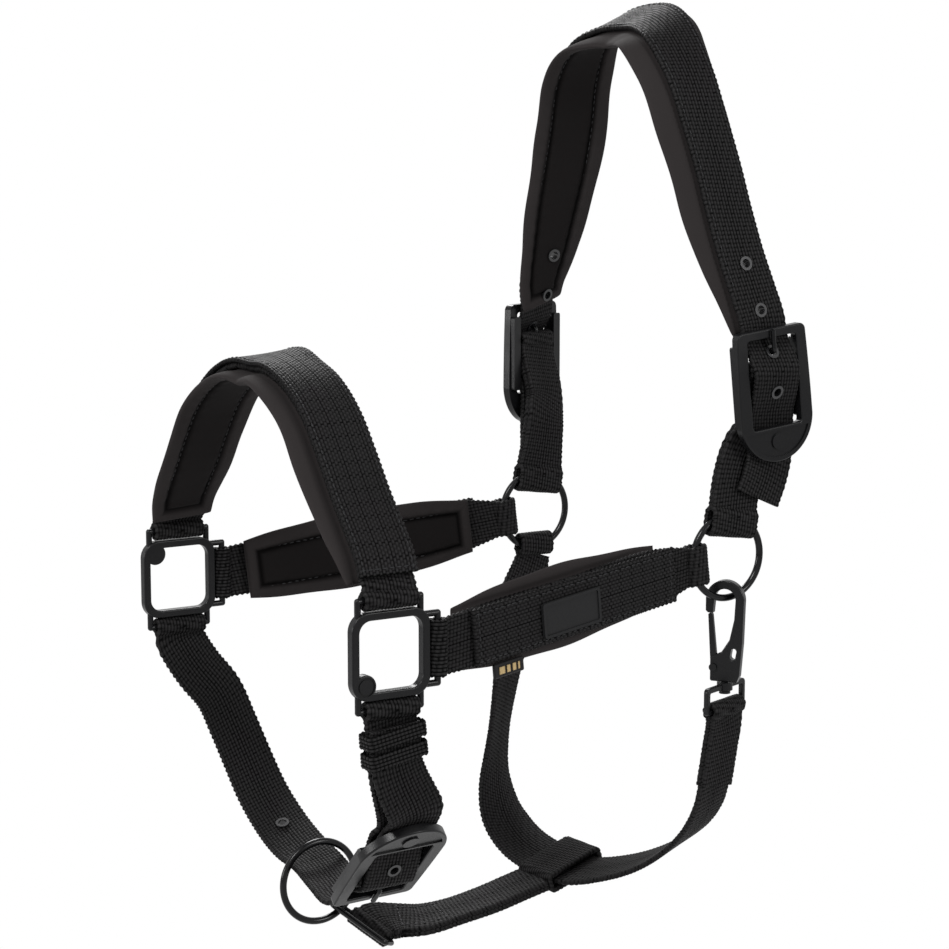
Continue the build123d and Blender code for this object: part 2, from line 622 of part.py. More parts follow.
# ---- Jaw strap: from the wire link back to a sleeve round the throat strap
sleeve_at, sleeve_across = throat_path[7][0], Vector(0, 0.95, 0.30)
sleeve_along = (throat_path[6][0] - throat_path[8][0]).normalized()
sleeve_room = 2.8
jaw_bar = link_centre - link_across * half_short + link_along * 2.5
jaw_start = square_to(Vector(-0.1, 0.97, 0.0), link_along)
sleeve_front = sleeve_at - square_to(sleeve_across, sleeve_along) * (web_width / 2 + sleeve_room / 2 + 1.0)
jaw_run = [(-11.4, 0.878, -173.8, 0.90, 0.25), (-7.0, 0.749, -174.4, 0.96, 0.12),
           (-4.2, 0.579, -172.6, 1.0, 0.0), (-2.2, 0.409, -169.4, 1.0, 0.0),
           (-0.8, 0.250, -165.4, 1.0, 0.0)]    # Y as a share of the way from the sleeve to the link
sleeve_to_link = jaw_bar.Y - sleeve_at.Y
jaw_path = [(jaw_bar + jaw_start * (link_wire + seat_gap + out), link_along, 22.0)
            for out in (1.2, 4.6)]
jaw_path += [(Vector(x, sleeve_at.Y + sleeve_to_link * share, z), Vector(wx, wy, -wy), web_width)
             for x, share, z, wx, wy in jaw_run]
jaw_path += [(sleeve_front, sleeve_along, web_width)]
with BuildPart() as jaw_strap:
    ribbon(jaw_path, 2 * web_thick, -web_thick)
    eye(jaw_bar, jaw_start, link_along, 22.0, link_wire)
    sleeve_plane = Plane(origin=sleeve_at, x_dir=square_to(sleeve_across, sleeve_along), z_dir=sleeve_along)
    with BuildSketch(sleeve_plane):
        RectangleRounded(web_width + sleeve_room + 2 * web_thick, 3 * web_thick + sleeve_room, 2.6)
        RectangleRounded(web_width + sleeve_room, web_thick + sleeve_room, 0.5, mode=Mode.SUBTRACT)
    extrude(amount=web_width / 2, both=True)
save(jaw_strap, "jaw_strap")

# ---- Snap hook with its gate and swivel eye. Hook plane: X towards the back of the hook, Y up.
yaw = Vector(1, 0, 0).rotate(Axis.Z, hook_yaw)
hook_plane = Plane(origin=hook_base, x_dir=yaw, z_dir=yaw.cross(Vector(0, 0, 1)))
hook_outer = hook_inner + hook_band
gate_pivot = (-5.0, 6.5)
gate_slot = 2.4
gate_thick = 1.8
rivet_radius = 1.0
nose_end = 31.5
with BuildPart() as snap_hook:
    with BuildSketch(hook_plane.offset(-hook_thick / 2)):
        with BuildLine():
            Polyline((-6.6, 0.6), (-6.0, 0), (6.0, 0), (7.2, 3.0), (8.4, 18.0), (hook_outer, hook_tall))
            ThreePointArc((hook_outer, hook_tall), (0, hook_tall + hook_outer), (-hook_outer, hook_tall))
            Polyline((-hook_outer, hook_tall), (-hook_outer, nose_end + 1), (-hook_outer + 1, nose_end),
                     (-hook_inner - 0.6, nose_end), (-hook_inner, hook_tall))
            ThreePointArc((-hook_inner, hook_tall), (0, hook_tall + hook_inner), (hook_inner, hook_tall))
            Polyline((hook_inner, hook_tall), (4.5, 29.0), (2.4, 19.5), (-1.4, 13.6), (-6.6, 11.0),
                     (-6.6, 0.6))
        make_face()
        with Locations((4.2, 13.0)):
            SlotOverall(5.2, 2.6, rotation=80, mode=Mode.SUBTRACT)
    extrude(amount=hook_thick)
    fillet(snap_hook.edges().filter_by(hook_plane), 0.7)
    with BuildSketch(hook_plane.offset(-gate_slot / 2)):
        with Locations((-5.6, 9.4)):
            Rectangle(7.4, 12.4)
    extrude(amount=gate_slot, mode=Mode.SUBTRACT)
    with BuildSketch(hook_plane):
        with Locations(gate_pivot):
            Circle(rivet_radius + 0.02)
    extrude(amount=hook_thick, both=True, mode=Mode.SUBTRACT)
    with BuildSketch(Plane(origin=hook_base + Vector(0, 0, 0.5))):
        Circle(stem_radius)
    extrude(amount=-5.2)
    with BuildSketch(Plane(origin=hook_base - Vector(0, 0, 4.3))):
        Circle(stem_radius + 1.1)
    extrude(amount=-1.2)
save(snap_hook, "snap_hook")

with BuildPart() as snap_gate:
    with BuildSketch(hook_plane.offset(-gate_thick / 2)):
        with BuildLine():
            Polyline((-6.6, 6.0), (-8.0, nose_end - 0.9), (-7.4, nose_end - 0.35), (-6.4, nose_end - 0.35),
                     (-5.9, nose_end - 0.9), (-3.5, 7.6), (-6.6, 6.0))
        make_face()
        with Locations(gate_pivot):
            Circle(2.0)
            Circle(rivet_radius + 0.08, mode=Mode.SUBTRACT)
    extrude(amount=gate_thick)
save(snap_gate, "snap_gate")

with BuildPart() as snap_rivet:
    with BuildSketch(hook_plane.offset(-hook_thick / 2 - 0.1)):
        with Locations(gate_pivot):
            Circle(rivet_radius)
    extrude(amount=hook_thick + 0.2)
    for height in (-hook_thick / 2 - 0.8, hook_thick / 2 + 0.05):
        with BuildSketch(hook_plane.offset(height)):
            with Locations(gate_pivot):
                Circle(1.8)
        extrude(amount=0.75)
save(snap_rivet, "snap_rivet")

with BuildPart() as swivel_eye:
    eye_face = eye_across.cross(Vector(0, 0, 1))
    eye_plane = Plane(origin=(eye_top + eye_foot) / 2, x_dir=eye_across, z_dir=eye_face)
    with BuildSketch(eye_plane.offset(-eye_wire)):
        RectangleRounded(eye_wide, eye_tall, 2.0)
        RectangleRounded(eye_wide - 4 * eye_wire, eye_tall - 4 * eye_wire, 0.8, mode=Mode.SUBTRACT)
    extrude(amount=2 * eye_wire)
    fillet(swivel_eye.edges().filter_by(eye_plane), 0.5)
    with BuildSketch(Plane(origin=hook_base - Vector(0, 0, 0.4))):
        Circle(stem_radius + 2.1)
    extrude(amount=-3.5)
    with BuildSketch(Plane(origin=hook_base)):
        Circle(stem_radius + 0.08)
    extrude(amount=-5, mode=Mode.SUBTRACT)
save(swivel_eye, "swivel_eye")
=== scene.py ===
import bpy
import json
import math
import numpy as np
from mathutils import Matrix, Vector


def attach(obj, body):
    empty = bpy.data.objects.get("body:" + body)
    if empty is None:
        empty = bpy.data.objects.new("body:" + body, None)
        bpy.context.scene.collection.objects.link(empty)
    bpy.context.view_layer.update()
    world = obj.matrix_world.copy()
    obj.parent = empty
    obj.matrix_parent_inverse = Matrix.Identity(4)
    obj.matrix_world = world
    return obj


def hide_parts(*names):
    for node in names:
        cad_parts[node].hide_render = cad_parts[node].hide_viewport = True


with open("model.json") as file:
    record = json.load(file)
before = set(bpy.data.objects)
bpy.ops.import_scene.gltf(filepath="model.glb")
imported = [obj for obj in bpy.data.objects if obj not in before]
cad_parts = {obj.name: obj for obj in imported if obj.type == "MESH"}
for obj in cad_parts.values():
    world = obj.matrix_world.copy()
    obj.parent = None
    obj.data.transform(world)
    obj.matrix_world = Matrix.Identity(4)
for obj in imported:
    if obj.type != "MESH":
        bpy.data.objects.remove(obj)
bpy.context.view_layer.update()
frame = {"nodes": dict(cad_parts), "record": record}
nodes = frame["nodes"]
rng = np.random.default_rng(11)
print("frame loaded")

# Strap routes in mm, worked out from where the frame's hardware stands
def unit(v):
    return v / np.linalg.norm(v, axis=-1, keepdims=True)


def boxOf(name):
    corners = np.array([nodes[name].matrix_world @ Vector(corner) for corner in nodes[name].bound_box]) * 1000
    return corners.min(axis=0), corners.max(axis=0)


def middleOf(name):
    low, high = boxOf(name)
    return (low + high) / 2


def vec(*values):
    return np.array(values, float)


def squareTo(direction, other):
    other = unit(other)
    return unit(direction - other * (direction @ other))


webValues = {"width": 25.0, "thick": 2.4, "coverWidth": 27.5, "coverThick": 2.0, "padThick": 4.6,
             "layerGap": 0.4, "seatGap": 0.35, "padLean": 0.58, "ringSlack": 0.6}
webWidth, webThick = webValues["width"], webValues["thick"]
coverThick, padThick = webValues["coverThick"], webValues["padThick"]
layerGap, seatGap = webValues["layerGap"], webValues["seatGap"]
seatWall = seatGap + webThick / 2    # from a bar's surface to the middle of the webbing round it

ringLow, ringHigh = boxOf("near_cheek_ring")
ringWire = (ringHigh[0] - ringLow[0]) / 2
ringRadius = (ringHigh[2] - ringLow[2]) / 2 - ringWire
ringSpread = middleOf("near_cheek_ring")[0]
frameValues = {"side": 36.8, "wire": 1.4}
frameReach = -boxOf("near_corner_frame")[0][1] - frameValues["side"] / 2
frameSpread, frameDrop = middleOf("near_corner_frame")[0], -middleOf("near_corner_frame")[2]
loopReach = boxOf("near_corner_frame")[1][2] + frameDrop - frameValues["wire"]

# A station is a place, the direction across the strip and its width; the strip's outer face
# lies inset below the places
lines, loops, eyelets = {}, {}, {}
flip = vec(-1, 1, 1)


def mirroredStations(stations):
    return [(p * flip, a * flip, w) for p, a, w in stations[::-1]]


def addLine(name, stations, thick, inset=0.0, lean=0.0):
    # turns stations into rows of the strip's own middle: place, direction across, width
    rows = []
    for i, (place, across, width) in enumerate(stations):
        along = unit(stations[min(i + 1, len(stations) - 1)][0] - stations[max(i - 1, 0)][0])
        across = squareTo(across, along)
        inward = np.cross(along, across)
        middle = place + inward * (inset + thick / 2) - across * lean * (width - webWidth) / 2
        rows.append([*middle, *across, width])
    lines[name] = (thick, np.array(rows))


def addLoop(name, centre, along, across, width, wire, room=0.0):
    # a loop round a bar; room is how far a ring's curve reaches towards its middle
    loops.setdefault(name, []).append((centre, along, across, width, wire, room))


def addRingLoop(name, centre, along, across, width):
    room = ringRadius - (ringRadius ** 2 - (width / 2) ** 2) ** 0.5 + webValues["ringSlack"]
    addLoop(name, centre + along * ringRadius, along, across, width, ringWire, room)


def onStrip(stations, index, share):
    # place between two stations and the direction away from the head there
    (p, a, w), (q, b, v) = stations[index], stations[index + 1]
    along = unit(q - p)
    return p + (q - p) * share, np.cross(squareTo(a * (1 - share) + b * share, along), along)


buckleValues = {"long": 44.5, "nose": 16.0, "bar": 4.0, "pinPlace": 26.5, "pinLevel": 0.2, "pinRadius": 1.3}
pinPlace, pinRadius = buckleValues["pinPlace"], buckleValues["pinRadius"]


def buckleAt(pin, across, along):
    # the buckle's own directions and the middle of its plate's edge, from its pin
    level = squareTo(across, along)
    out = unit(np.cross(level, along))
    along = np.cross(out, level)
    edge = middleOf(pin) - along * pinPlace - out * buckleValues["pinLevel"]
    return {"edge": edge, "across": level, "along": along, "out": out}


def inBuckle(buckle, along, out, across=0.0):
    return buckle["edge"] + buckle["across"] * across + buckle["along"] * along + buckle["out"] * out


def throughBuckle(buckle, tail, swing=0.0):
    # outer face of the strap that the tongue holds; swing is how far the tail bends sideways in 30 mm
    bulge = buckleValues["pinLevel"] + pinRadius + seatGap + 2 * webThick + 0.9
    profile = [(-23.0, -0.2), (-buckleValues["nose"], -0.1), (-1.0, -0.1), (5.5, 1.0), (12.0, 3.6),
               (19.0, 6.2), (pinPlace, bulge), (30.0, 5.9), (34.0, 3.6),
               (buckleValues["long"] - buckleValues["bar"] - 0.5, 0.1), (buckleValues["long"] + 1.5, -0.3)]
    profile = [(-tail, -0.3)] + [(v, n) for v, n in profile if v > -tail]
    return [(inBuckle(buckle, v, n, swing * (min(v, 0) / 30) ** 2), buckle["across"], webWidth)
            for v, n in profile]


def strapToPin(buckle, ends):
    profile = [(pinPlace - pinRadius - seatGap - 1.0, -0.2), (19.0, -1.0), (12.0, -2.8), (6.0, -5.0),
               (0.0, -6.2)]
    return [(inBuckle(buckle, v, n), buckle["across"], webWidth) for v, n in profile] + ends


nearBuckle = buckleAt("near_crown_buckle_pin", vec(0, 0.994, 0.11), vec(0, -0.11, 0.994))
farBuckle = buckleAt("far_crown_buckle_pin", vec(0.35, -0.937, 0), vec(0, 0, 1))
chinBuckle = buckleAt("chin_buckle_pin", vec(-0.026, -0.999, -0.036), vec(-0.730, 0.043, -0.682))

# Crown: place and the lean of the direction across, up each side; the shoulders count down from the top
crownValues = {
    "nearRise": ((81.6, 11.8, 119.0, 0, 0.11), (77.2, 8.2, 135.0, 0, 0.11), (72.2, 5.4, 153.0, 0, 0.10),
                 (66.4, 3.2, 173.0, 0, 0.11), (59.6, 0.8, 193.0, 0, 0.14), (50.5, -2.0, 216.0, 0, 0.24),
                 (37.0, -2.6, 233.0, 0, 0.34)),
    "farRise": ((-83.5, 4.8, 116.0, -0.15, 0), (-79.5, 8.2, 133.0, 0.08, 0), (-74.5, 11.0, 152.0, 0.26, 0),
                (-68.0, 12.6, 173.0, 0.36, 0.04), (-61.0, 11.6, 193.0, 0.36, 0.10),
                (-51.0, 7.2, 216.0, 0.25, 0.20), (-37.0, 3.4, 233.0, 0.12, 0.34)),
    "nearShoulder": (19.5, 1.6, -2.3, 0, 0.46), "top": (0, 5.5, 0, 0, 0.52),
    "farShoulder": (-19.5, 3.8, -2.3, 0.04, 0.46),
    "nearTail": 32.0, "nearSwing": -9.0, "farTail": 27.0,
    "padFrom": 11, "topPadWidth": 38.5,
    "nearPadWidths": (28.0, 31.0, 35.0, 38.0, 39.5, 40.0, 40.0, 39.5, 39.0),
    "farPadWidths": (28.0, 29.5, 31.5, 33.5, 35.0, 36.0, 37.0, 38.0, 38.5),
    "strapHoles": ((5, 0.55), (8, 0.96)), "padHoles": ((11, 0.45), (12, 0.80)),
}
topTilt = crownValues["top"][4]
crownRise = boxOf("crown_strap")[1][2] - webWidth / 2 * topTilt / math.hypot(1, topTilt)


def leg(rows, base=0.0):
    return [(vec(x, y, z + base), vec(turn, 1, tilt), webWidth) for x, y, z, turn, tilt in rows]


crownTop = leg([crownValues["nearShoulder"], crownValues["top"], crownValues["farShoulder"]], crownRise)
farTail = [(p, -a, w) for p, a, w in throughBuckle(farBuckle, crownValues["farTail"])]
crown = (throughBuckle(nearBuckle, crownValues["nearTail"], crownValues["nearSwing"])
         + leg(crownValues["nearRise"]) + crownTop + leg(crownValues["farRise"])[::-1] + farTail[::-1])
padWidths = (crownValues["nearPadWidths"] + (crownValues["topPadWidth"],) + crownValues["farPadWidths"][::-1])
crownPadPath = [(p, a, w) for (p, a, _), w in zip(crown[crownValues["padFrom"]:], padWidths)]
addLine("crownStrap", crown, webThick)
addLine("crownPad", crownPadPath, padThick, webThick + layerGap, webValues["padLean"])
eyelets["crownEyelets"] = []
for holes in (crownValues["strapHoles"], crownValues["padHoles"]):
    eyelets["crownEyelets"] += [onStrip(crown, index, share) for index, share in holes]
    eyelets["crownEyelets"] += [onStrip(crown, len(crown) - 2 - index, 1 - share) for index, share in holes]

# Upper cheek straps, from the crown buckle's pin down to the cheek ring
upperValues = {"nearBends": ((78.9, 9.5, 47.0, 0), (79.0, 4.8, 34.0, 0)),
               "farBends": ((-77.2, 4.6, 47.0, 0.25), (-78.0, 3.8, 34.0, 0.16)),
               "tilt": -0.19, "ringUp": (0, 0.136, 0.991)}
ringUp = vec(*upperValues["ringUp"])
ringSeat = ringRadius + ringWire + seatWall
for side, name, buckle in ((1, "near", nearBuckle), (-1, "far", farBuckle)):
    strap = name + "UpperCheekStrap"
    ringCentre = middleOf(name + "_cheek_ring")
    ringAcross = vec(0, ringUp[2], -ringUp[1])
    down = [(vec(x, y, z), vec(turn, side, side * upperValues["tilt"]), webWidth)
            for x, y, z, turn in upperValues[name + "Bends"]]
    down.append((ringCentre + ringUp * ringSeat, ringAcross * side, webWidth))
    addLine(strap, strapToPin(buckle, down), 2 * webThick, -webThick)
    addLoop(strap, inBuckle(buckle, pinPlace, buckleValues["pinLevel"]), buckle["along"], buckle["across"],
            webWidth, pinRadius)
    addRingLoop(strap, ringCentre, ringUp, ringAcross, webWidth)

# Noseband: how far out and how high the strap is at each station of one half
noseValues = {"rise": ((99.2, 14.0), (95.5, 22.0), (87.5, 32.0), (77.0, 44.0), (66.0, 58.5), (52.0, 75.0),
                       (34.0, 87.5), (17.0, 93.2)),
              "top": 95.0, "rootWall": 1.4, "rootRises": (0, 2.4),
              "padWidths": (30.0, 32.5, 35.0, 36.5, 37.5, 37.5, 37.0, 36.5, 36.0)}
topLoop = vec(frameSpread, -frameReach, loopReach - frameDrop)
noseArch = [(vec(x, 0.4 - frameReach, z), vec(0, 1, 0.05), webWidth) for x, z in noseValues["rise"]]
noseTop = (vec(0, 1.2 - frameReach, noseValues["top"]), vec(0, 1, 0.2), webWidth)
nosePath = noseArch + [noseTop] + mirroredStations(noseArch)
rootHeight = frameValues["wire"] + seatGap + noseValues["rootWall"]
noseRoot = [(topLoop + vec(webThick + coverThick / 2, 0, rootHeight + rise), vec(0, 1, 0), webWidth)
            for rise in noseValues["rootRises"]]
baseInset = coverThick + layerGap
farRoot = [(p * flip, a, w) for p, a, w in noseRoot[::-1]]
addLine("noseStrap", noseRoot + nosePath + farRoot, webThick, baseInset)
for loopAt in (topLoop, topLoop * flip):
    addLoop("noseStrap", loopAt, vec(0, 0, 1), vec(0, 1, 0), webWidth, frameValues["wire"])
addLine("noseCover", [(p, a, webValues["coverWidth"]) for p, a, _ in nosePath], coverThick)
nosePadHalf = [(p, a, w) for (p, a, _), w in zip(nosePath, noseValues["padWidths"])]
addLine("nosePad", nosePadHalf + mirroredStations(nosePadHalf[:-1]), padThick,
        baseInset + webThick + layerGap, webValues["padLean"])

# Side cheek straps: share of the way from the corner frame to the ring, and the width there
cheekValues = {"strap": ((0.0, 24.0), (0.09, 25.0), (0.5, 25.0), (0.9, 24.0), (1.0, 18.0)),
               "cover": ((0.10, 25.0), (0.5, 25.0), (0.92, 25.0)),
               "pad": ((0.06, 28.0), (0.2, 33.0), (0.45, 37.0), (0.7, 33.0), (0.88, 27.0)),
               "frameEnd": 24.0, "ringEnd": 18.0, "across": (0, 0.10, 1), "ringFront": (0, -0.992, -0.122)}
ringFront = vec(*cheekValues["ringFront"])
cheekRuns = {}
for side, name in ((1, "near"), (-1, "far")):
    frameBar = vec(side * frameSpread, loopReach - frameReach, -frameDrop)
    ringCentre = middleOf(name + "_cheek_ring")
    start = frameBar + vec(0, frameValues["wire"] + seatWall, 0)
    run = ringCentre + ringFront * ringSeat - start
    cheekRuns[name] = run
    for layer, thick, inset in (("Strap", webThick, -webThick / 2),
                                ("Cover", coverThick, -webThick / 2 - layerGap - coverThick),
                                ("Pad", padThick, webThick / 2 + layerGap)):
        stations = [(start + run * share, vec(*cheekValues["across"]), width)
                    for share, width in cheekValues[layer.lower()]]
        addLine(name + "Cheek" + layer, stations[::-side], thick, inset)
    addLoop(name + "CheekStrap", frameBar, vec(0, 1, 0), vec(0, 0, 1), cheekValues["frameEnd"],
            frameValues["wire"])
    addRingLoop(name + "CheekStrap", ringCentre, ringFront, vec(0, ringFront[2], -ringFront[1]),
                cheekValues["ringEnd"])

# Chin strap and billet; their stations count Y from the corner frames
chinValues = {
    "fall": ((-99.7, 2.1, -52.5, 0.04), (-98.4, 8.7, -63.5, 0.12), (-95.5, 17.7, -76.0, 0.16),
             (-91.5, 23.2, -91.5, 0.18), (-85.0, 27.2, -107.0, 0.22), (-74.0, 29.7, -122.0, 0.28),
             (-57.0, 30.7, -133.5, 0.30), (-38.0, 30.1, -139.8, 0.25), (-18.0, 29.7, -143.4, 0.1),
             (2.0, 26.7, -146.3, 0.06), (24.0, 22.5, -147.0, 0.03)),
    "back": ((99.3, 11.7, -85.0), (102.0, 6.2, -76.0), (103.2, 2.1, -66.5), (103.6, 0.7, -48.8)),
    "billet": ((85.2, 14.3, -93.0), (91.4, 10.3, -84.8), (95.6, 5.7, -75.5), (98.0, 2.2, -65.0),
               (98.9, 0.8, -53.0)),
    "tail": 19.0, "rootDrops": (0, 3.4),
}
farBottom = vec(-frameSpread, 0.3 - frameReach, -frameDrop - loopReach)
nearBottom = vec(frameSpread, 0.5 - frameReach, -frameDrop - loopReach)
barSeat = frameValues["wire"] + seatWall
chinPath = [(vec(x, y - frameReach, z), vec(0, 1, tilt), webWidth) for x, y, z, tilt in chinValues["fall"]]
chinPath += [(p, -a, w) for p, a, w in throughBuckle(chinBuckle, chinValues["tail"])[::-1]]
chinPath += [(vec(x, y - frameReach, z), vec(-0.1, 1, 0.1), webWidth) for x, y, z in chinValues["back"]]
chinRoot = [(farBottom - vec(webThick / 2, 0, barSeat + drop), vec(0, 1, 0), webWidth)
            for drop in chinValues["rootDrops"]]
addLine("chinStrap", chinRoot + chinPath, webThick)
addLoop("chinStrap", farBottom, vec(0, 0, 1), vec(0, 1, 0), webWidth, frameValues["wire"])
fallCount = len(chinValues["fall"])
chinHoles = ((6, 0.15), (fallCount + 2, 0.04), (fallCount + 5, 0.45))
eyelets["chinEyelets"] = [onStrip(chinPath, index, share) for index, share in chinHoles]
billetRise = [(vec(x, y - frameReach, z), vec(0.1, -1, -0.1), webWidth) for x, y, z in chinValues["billet"]]
billetRise.append((nearBottom - vec(0, 0, barSeat), vec(0, -1, 0), webWidth))
addLine("chinBillet", strapToPin(chinBuckle, billetRise), webThick, -webThick / 2)
addLoop("chinBillet", inBuckle(chinBuckle, pinPlace, buckleValues["pinLevel"]), chinBuckle["along"],
        chinBuckle["across"], webWidth, pinRadius)
addLoop("chinBillet", nearBottom, vec(0, 0, 1), vec(0, 1, 0), webWidth, frameValues["wire"])

# Throat strap, from the snap hook's eye round to the far cheek ring, with the folded end at the eye
throatValues = {
    "run": ((78.9, -5.2, -104.0, -0.35, 0.0), (77.6, -6.6, -113.0, -0.33, 0.05),
            (72.3, -9.0, -124.0, -0.28, 0.15), (63.0, -12.8, -134.5, -0.20, 0.25),
            (50.0, -19.0, -144.5, -0.12, 0.30), (32.0, -28.0, -153.0, -0.05, 0.30),
            (14.5, -35.2, -157.6, 0.0, 0.30), (0.0, -36.0, -158.0, 0.0, 0.30),
            (-14.5, -36.6, -157.8, 0.0, 0.30), (-32.0, -37.0, -155.0, -0.14, 0.28),
            (-49.0, -35.4, -148.5, -0.36, 0.27), (-62.0, -32.0, -138.5, -0.58, 0.26),
            (-70.5, -28.0, -125.5, -0.68, 0.25), (-75.0, -23.5, -110.0, -0.68, 0.22),
            (-77.4, -18.6, -90.0, -0.56, 0.16), (-78.6, -13.6, -66.0, -0.30, 0.05),
            (-79.0, -9.0, -44.0, -0.08, -0.05)),
    "sleeveAt": 7, "endWidth": 22.0, "ringWidth": 19.0,
    "eyeWire": 1.2, "eyeAcross": (-0.35, 0.937, 0), "fold": ((79.0, -2.2, -88.0), (78.9, -5.3, -105.0)),
}
throatPath = [(vec(x, y, z), vec(wx, 0.95, wz), webWidth) for x, y, z, wx, wz in throatValues["run"]]
farFoot = vec(-ringSpread, 0, -ringSeat)
throatEnd = [(farFoot - vec(0, 3.0, 9.0), vec(0, 1, -0.1), throatValues["endWidth"]),
             (farFoot, vec(0, 1, 0), throatValues["ringWidth"])]
eyeWire = throatValues["eyeWire"]
eyeFoot = vec(ringSpread, 0, boxOf("swivel_eye")[0][2] + eyeWire)
eyeAcross = unit(vec(*throatValues["eyeAcross"]))
foldTop = eyeFoot - vec(0, 0, eyeWire + seatWall)
foldRun = [foldTop, foldTop - vec(0, 0, 2.4)] + [vec(*place) for place in throatValues["fold"]]
addLine("throatStrap", throatPath + throatEnd, webThick, -webThick / 2)
addLine("throatStrapFold", [(place, eyeAcross, webWidth) for place in foldRun], 2 * webThick, -webThick)
addLoop("throatStrap", eyeFoot, vec(0, 0, 1), eyeAcross, webWidth, eyeWire + 0.2)
addRingLoop("throatStrap", vec(-ringSpread, 0, 0), vec(0, 0, -1), vec(0, 1, 0), throatValues["ringWidth"])

# Jaw strap, from the wire link to its sleeve; Y is a share of the way from the sleeve to the link
jawValues = {
    "run": ((-11.4, 0.878, -173.8, 0.90, 0.25), (-7.0, 0.749, -174.4, 0.96, 0.12),
            (-4.2, 0.579, -172.6, 1.0, 0.0), (-2.2, 0.409, -169.4, 1.0, 0.0),
            (-0.8, 0.250, -165.4, 1.0, 0.0)),
    "linkAlong": (0.80, 0.42, -0.42), "linkAcross": (0.573, -0.748, 0.336), "linkWire": 1.3,
    "linkShort": 10.0, "linkWidth": 22.0, "barAside": 2.5, "start": (-0.1, 0.97, 0), "startsOut": (1.2, 4.6),
    "sleeveRoom": 2.8, "sleeveAcross": (0, 0.95, 0.30),
}
linkAlong = unit(vec(*jawValues["linkAlong"]))
linkAcross = squareTo(vec(*jawValues["linkAcross"]), linkAlong)
jawBar = middleOf("jaw_link") - linkAcross * jawValues["linkShort"] / 2 + linkAlong * jawValues["barAside"]
jawStart = squareTo(vec(*jawValues["start"]), linkAlong)
sleeveIndex = throatValues["sleeveAt"]
sleeveAt = throatPath[sleeveIndex][0]
sleeveAlong = unit(throatPath[sleeveIndex - 1][0] - throatPath[sleeveIndex + 1][0])
sleeveAcross = squareTo(vec(*jawValues["sleeveAcross"]), sleeveAlong)
sleeveFront = sleeveAt - sleeveAcross * (webWidth / 2 + jawValues["sleeveRoom"] / 2 + 1.0)
jawPath = [(jawBar + jawStart * (jawValues["linkWire"] + seatGap + out), linkAlong, jawValues["linkWidth"])
           for out in jawValues["startsOut"]]
jawPath += [(vec(x, sleeveAt[1] + (jawBar[1] - sleeveAt[1]) * share, z), vec(wx, wy, -wy), webWidth)
            for x, share, z, wx, wy in jawValues["run"]]
jawPath.append((sleeveFront, sleeveAlong, webWidth))
addLine("jawStrap", jawPath, 2 * webThick, -webThick)
addLoop("jawStrap", jawBar, jawStart, linkAlong, jawValues["linkWidth"], jawValues["linkWire"])
print("strap routes worked out")


# Tracks and strips, worked out in mm and turned to metres when a mesh is made
def makeTrack(pos, across, width, closed=False):
    if closed:
        along = unit(np.roll(pos, -1, axis=0) - np.roll(pos, 1, axis=0))
    else:
        along = unit(np.gradient(pos, axis=0))
    across = unit(across - along * np.sum(across * along, axis=1)[:, None])
    steps = np.linalg.norm(np.diff(pos, axis=0), axis=1)
    length = np.concatenate([[0], np.cumsum(steps)])
    return {"pos": pos, "along": along, "across": across, "out": np.cross(across, along), "width": width,
            "length": length, "closed": closed}


def smoothed(values, reach):
    # running mean that leaves both ends where they are
    if reach < 1:
        return values
    before = 2 * values[:1] - values[reach:0:-1]
    after = 2 * values[-1:] - values[-2:-reach - 2:-1]
    padded = np.concatenate([before, values, after])
    kernel = np.hanning(2 * reach + 3)[1:-1]
    kernel /= kernel.sum()
    return np.stack([np.convolve(padded[:, i], kernel, "valid") for i in range(values.shape[1])], axis=1)


def readLine(name, step=0.6, calm=2.4):
    rows = lines[name][1]
    gaps = np.linalg.norm(np.diff(rows[:, :3], axis=0), axis=1)
    knots = np.concatenate([[0], np.cumsum(gaps)])
    slopes = np.diff(rows, axis=0) / gaps[:, None]
    share = (gaps[1:] / (gaps[:-1] + gaps[1:]))[:, None]
    lead = np.vstack([slopes[:1], slopes[:-1] * share + slopes[1:] * (1 - share), slopes[-1:]])
    s = np.linspace(0, knots[-1], int(round(knots[-1] / step)) + 1)
    k = np.clip(np.searchsorted(knots, s, side="right") - 1, 0, len(gaps) - 1)
    h = gaps[k][:, None]
    f = ((s - knots[k]) / gaps[k])[:, None]
    data = (2 * f ** 3 - 3 * f ** 2 + 1) * rows[k] + (f ** 3 - 2 * f ** 2 + f) * h * lead[k]
    data += (3 * f ** 2 - 2 * f ** 3) * rows[k + 1] + (f ** 3 - f ** 2) * h * lead[k + 1]
    data = smoothed(data, int(round(calm / step)))
    return makeTrack(data[:, :3], data[:, 3:6], data[:, 6])


def loopTrack(centre, along, across, width, radius, room, step=0.6):
    # closed round a bar, with straight sides as long as the room
    c, a, b = centre, unit(along), unit(across)
    n = np.cross(a, b)
    half = math.pi * radius
    total = 2 * half + 2 * room
    s = np.linspace(0, total, int(total / step) + 1)[:-1]
    pos = np.empty((len(s), 3))
    for i, d in enumerate(s):
        if d < half:
            turn = math.pi / 2 - d / radius
            pos[i] = c + (a * math.cos(turn) - n * math.sin(turn)) * radius
        elif d < half + room:
            pos[i] = c + n * radius - a * (d - half)
        elif d < 2 * half + room:
            turn = -math.pi / 2 - (d - half - room) / radius
            pos[i] = c - a * room + (a * math.cos(turn) - n * math.sin(turn)) * radius
        else:
            pos[i] = c - n * radius - a * (room - (d - 2 * half - room))
    track = makeTrack(pos, np.tile(b, (len(s), 1)), np.full(len(s), float(width)), True)
    middle = c - a * room / 2
    inward = np.sum(track["out"] * (pos - middle), axis=1)
    if np.median(inward) < 0:
        track["out"] = -track["out"]
    return track


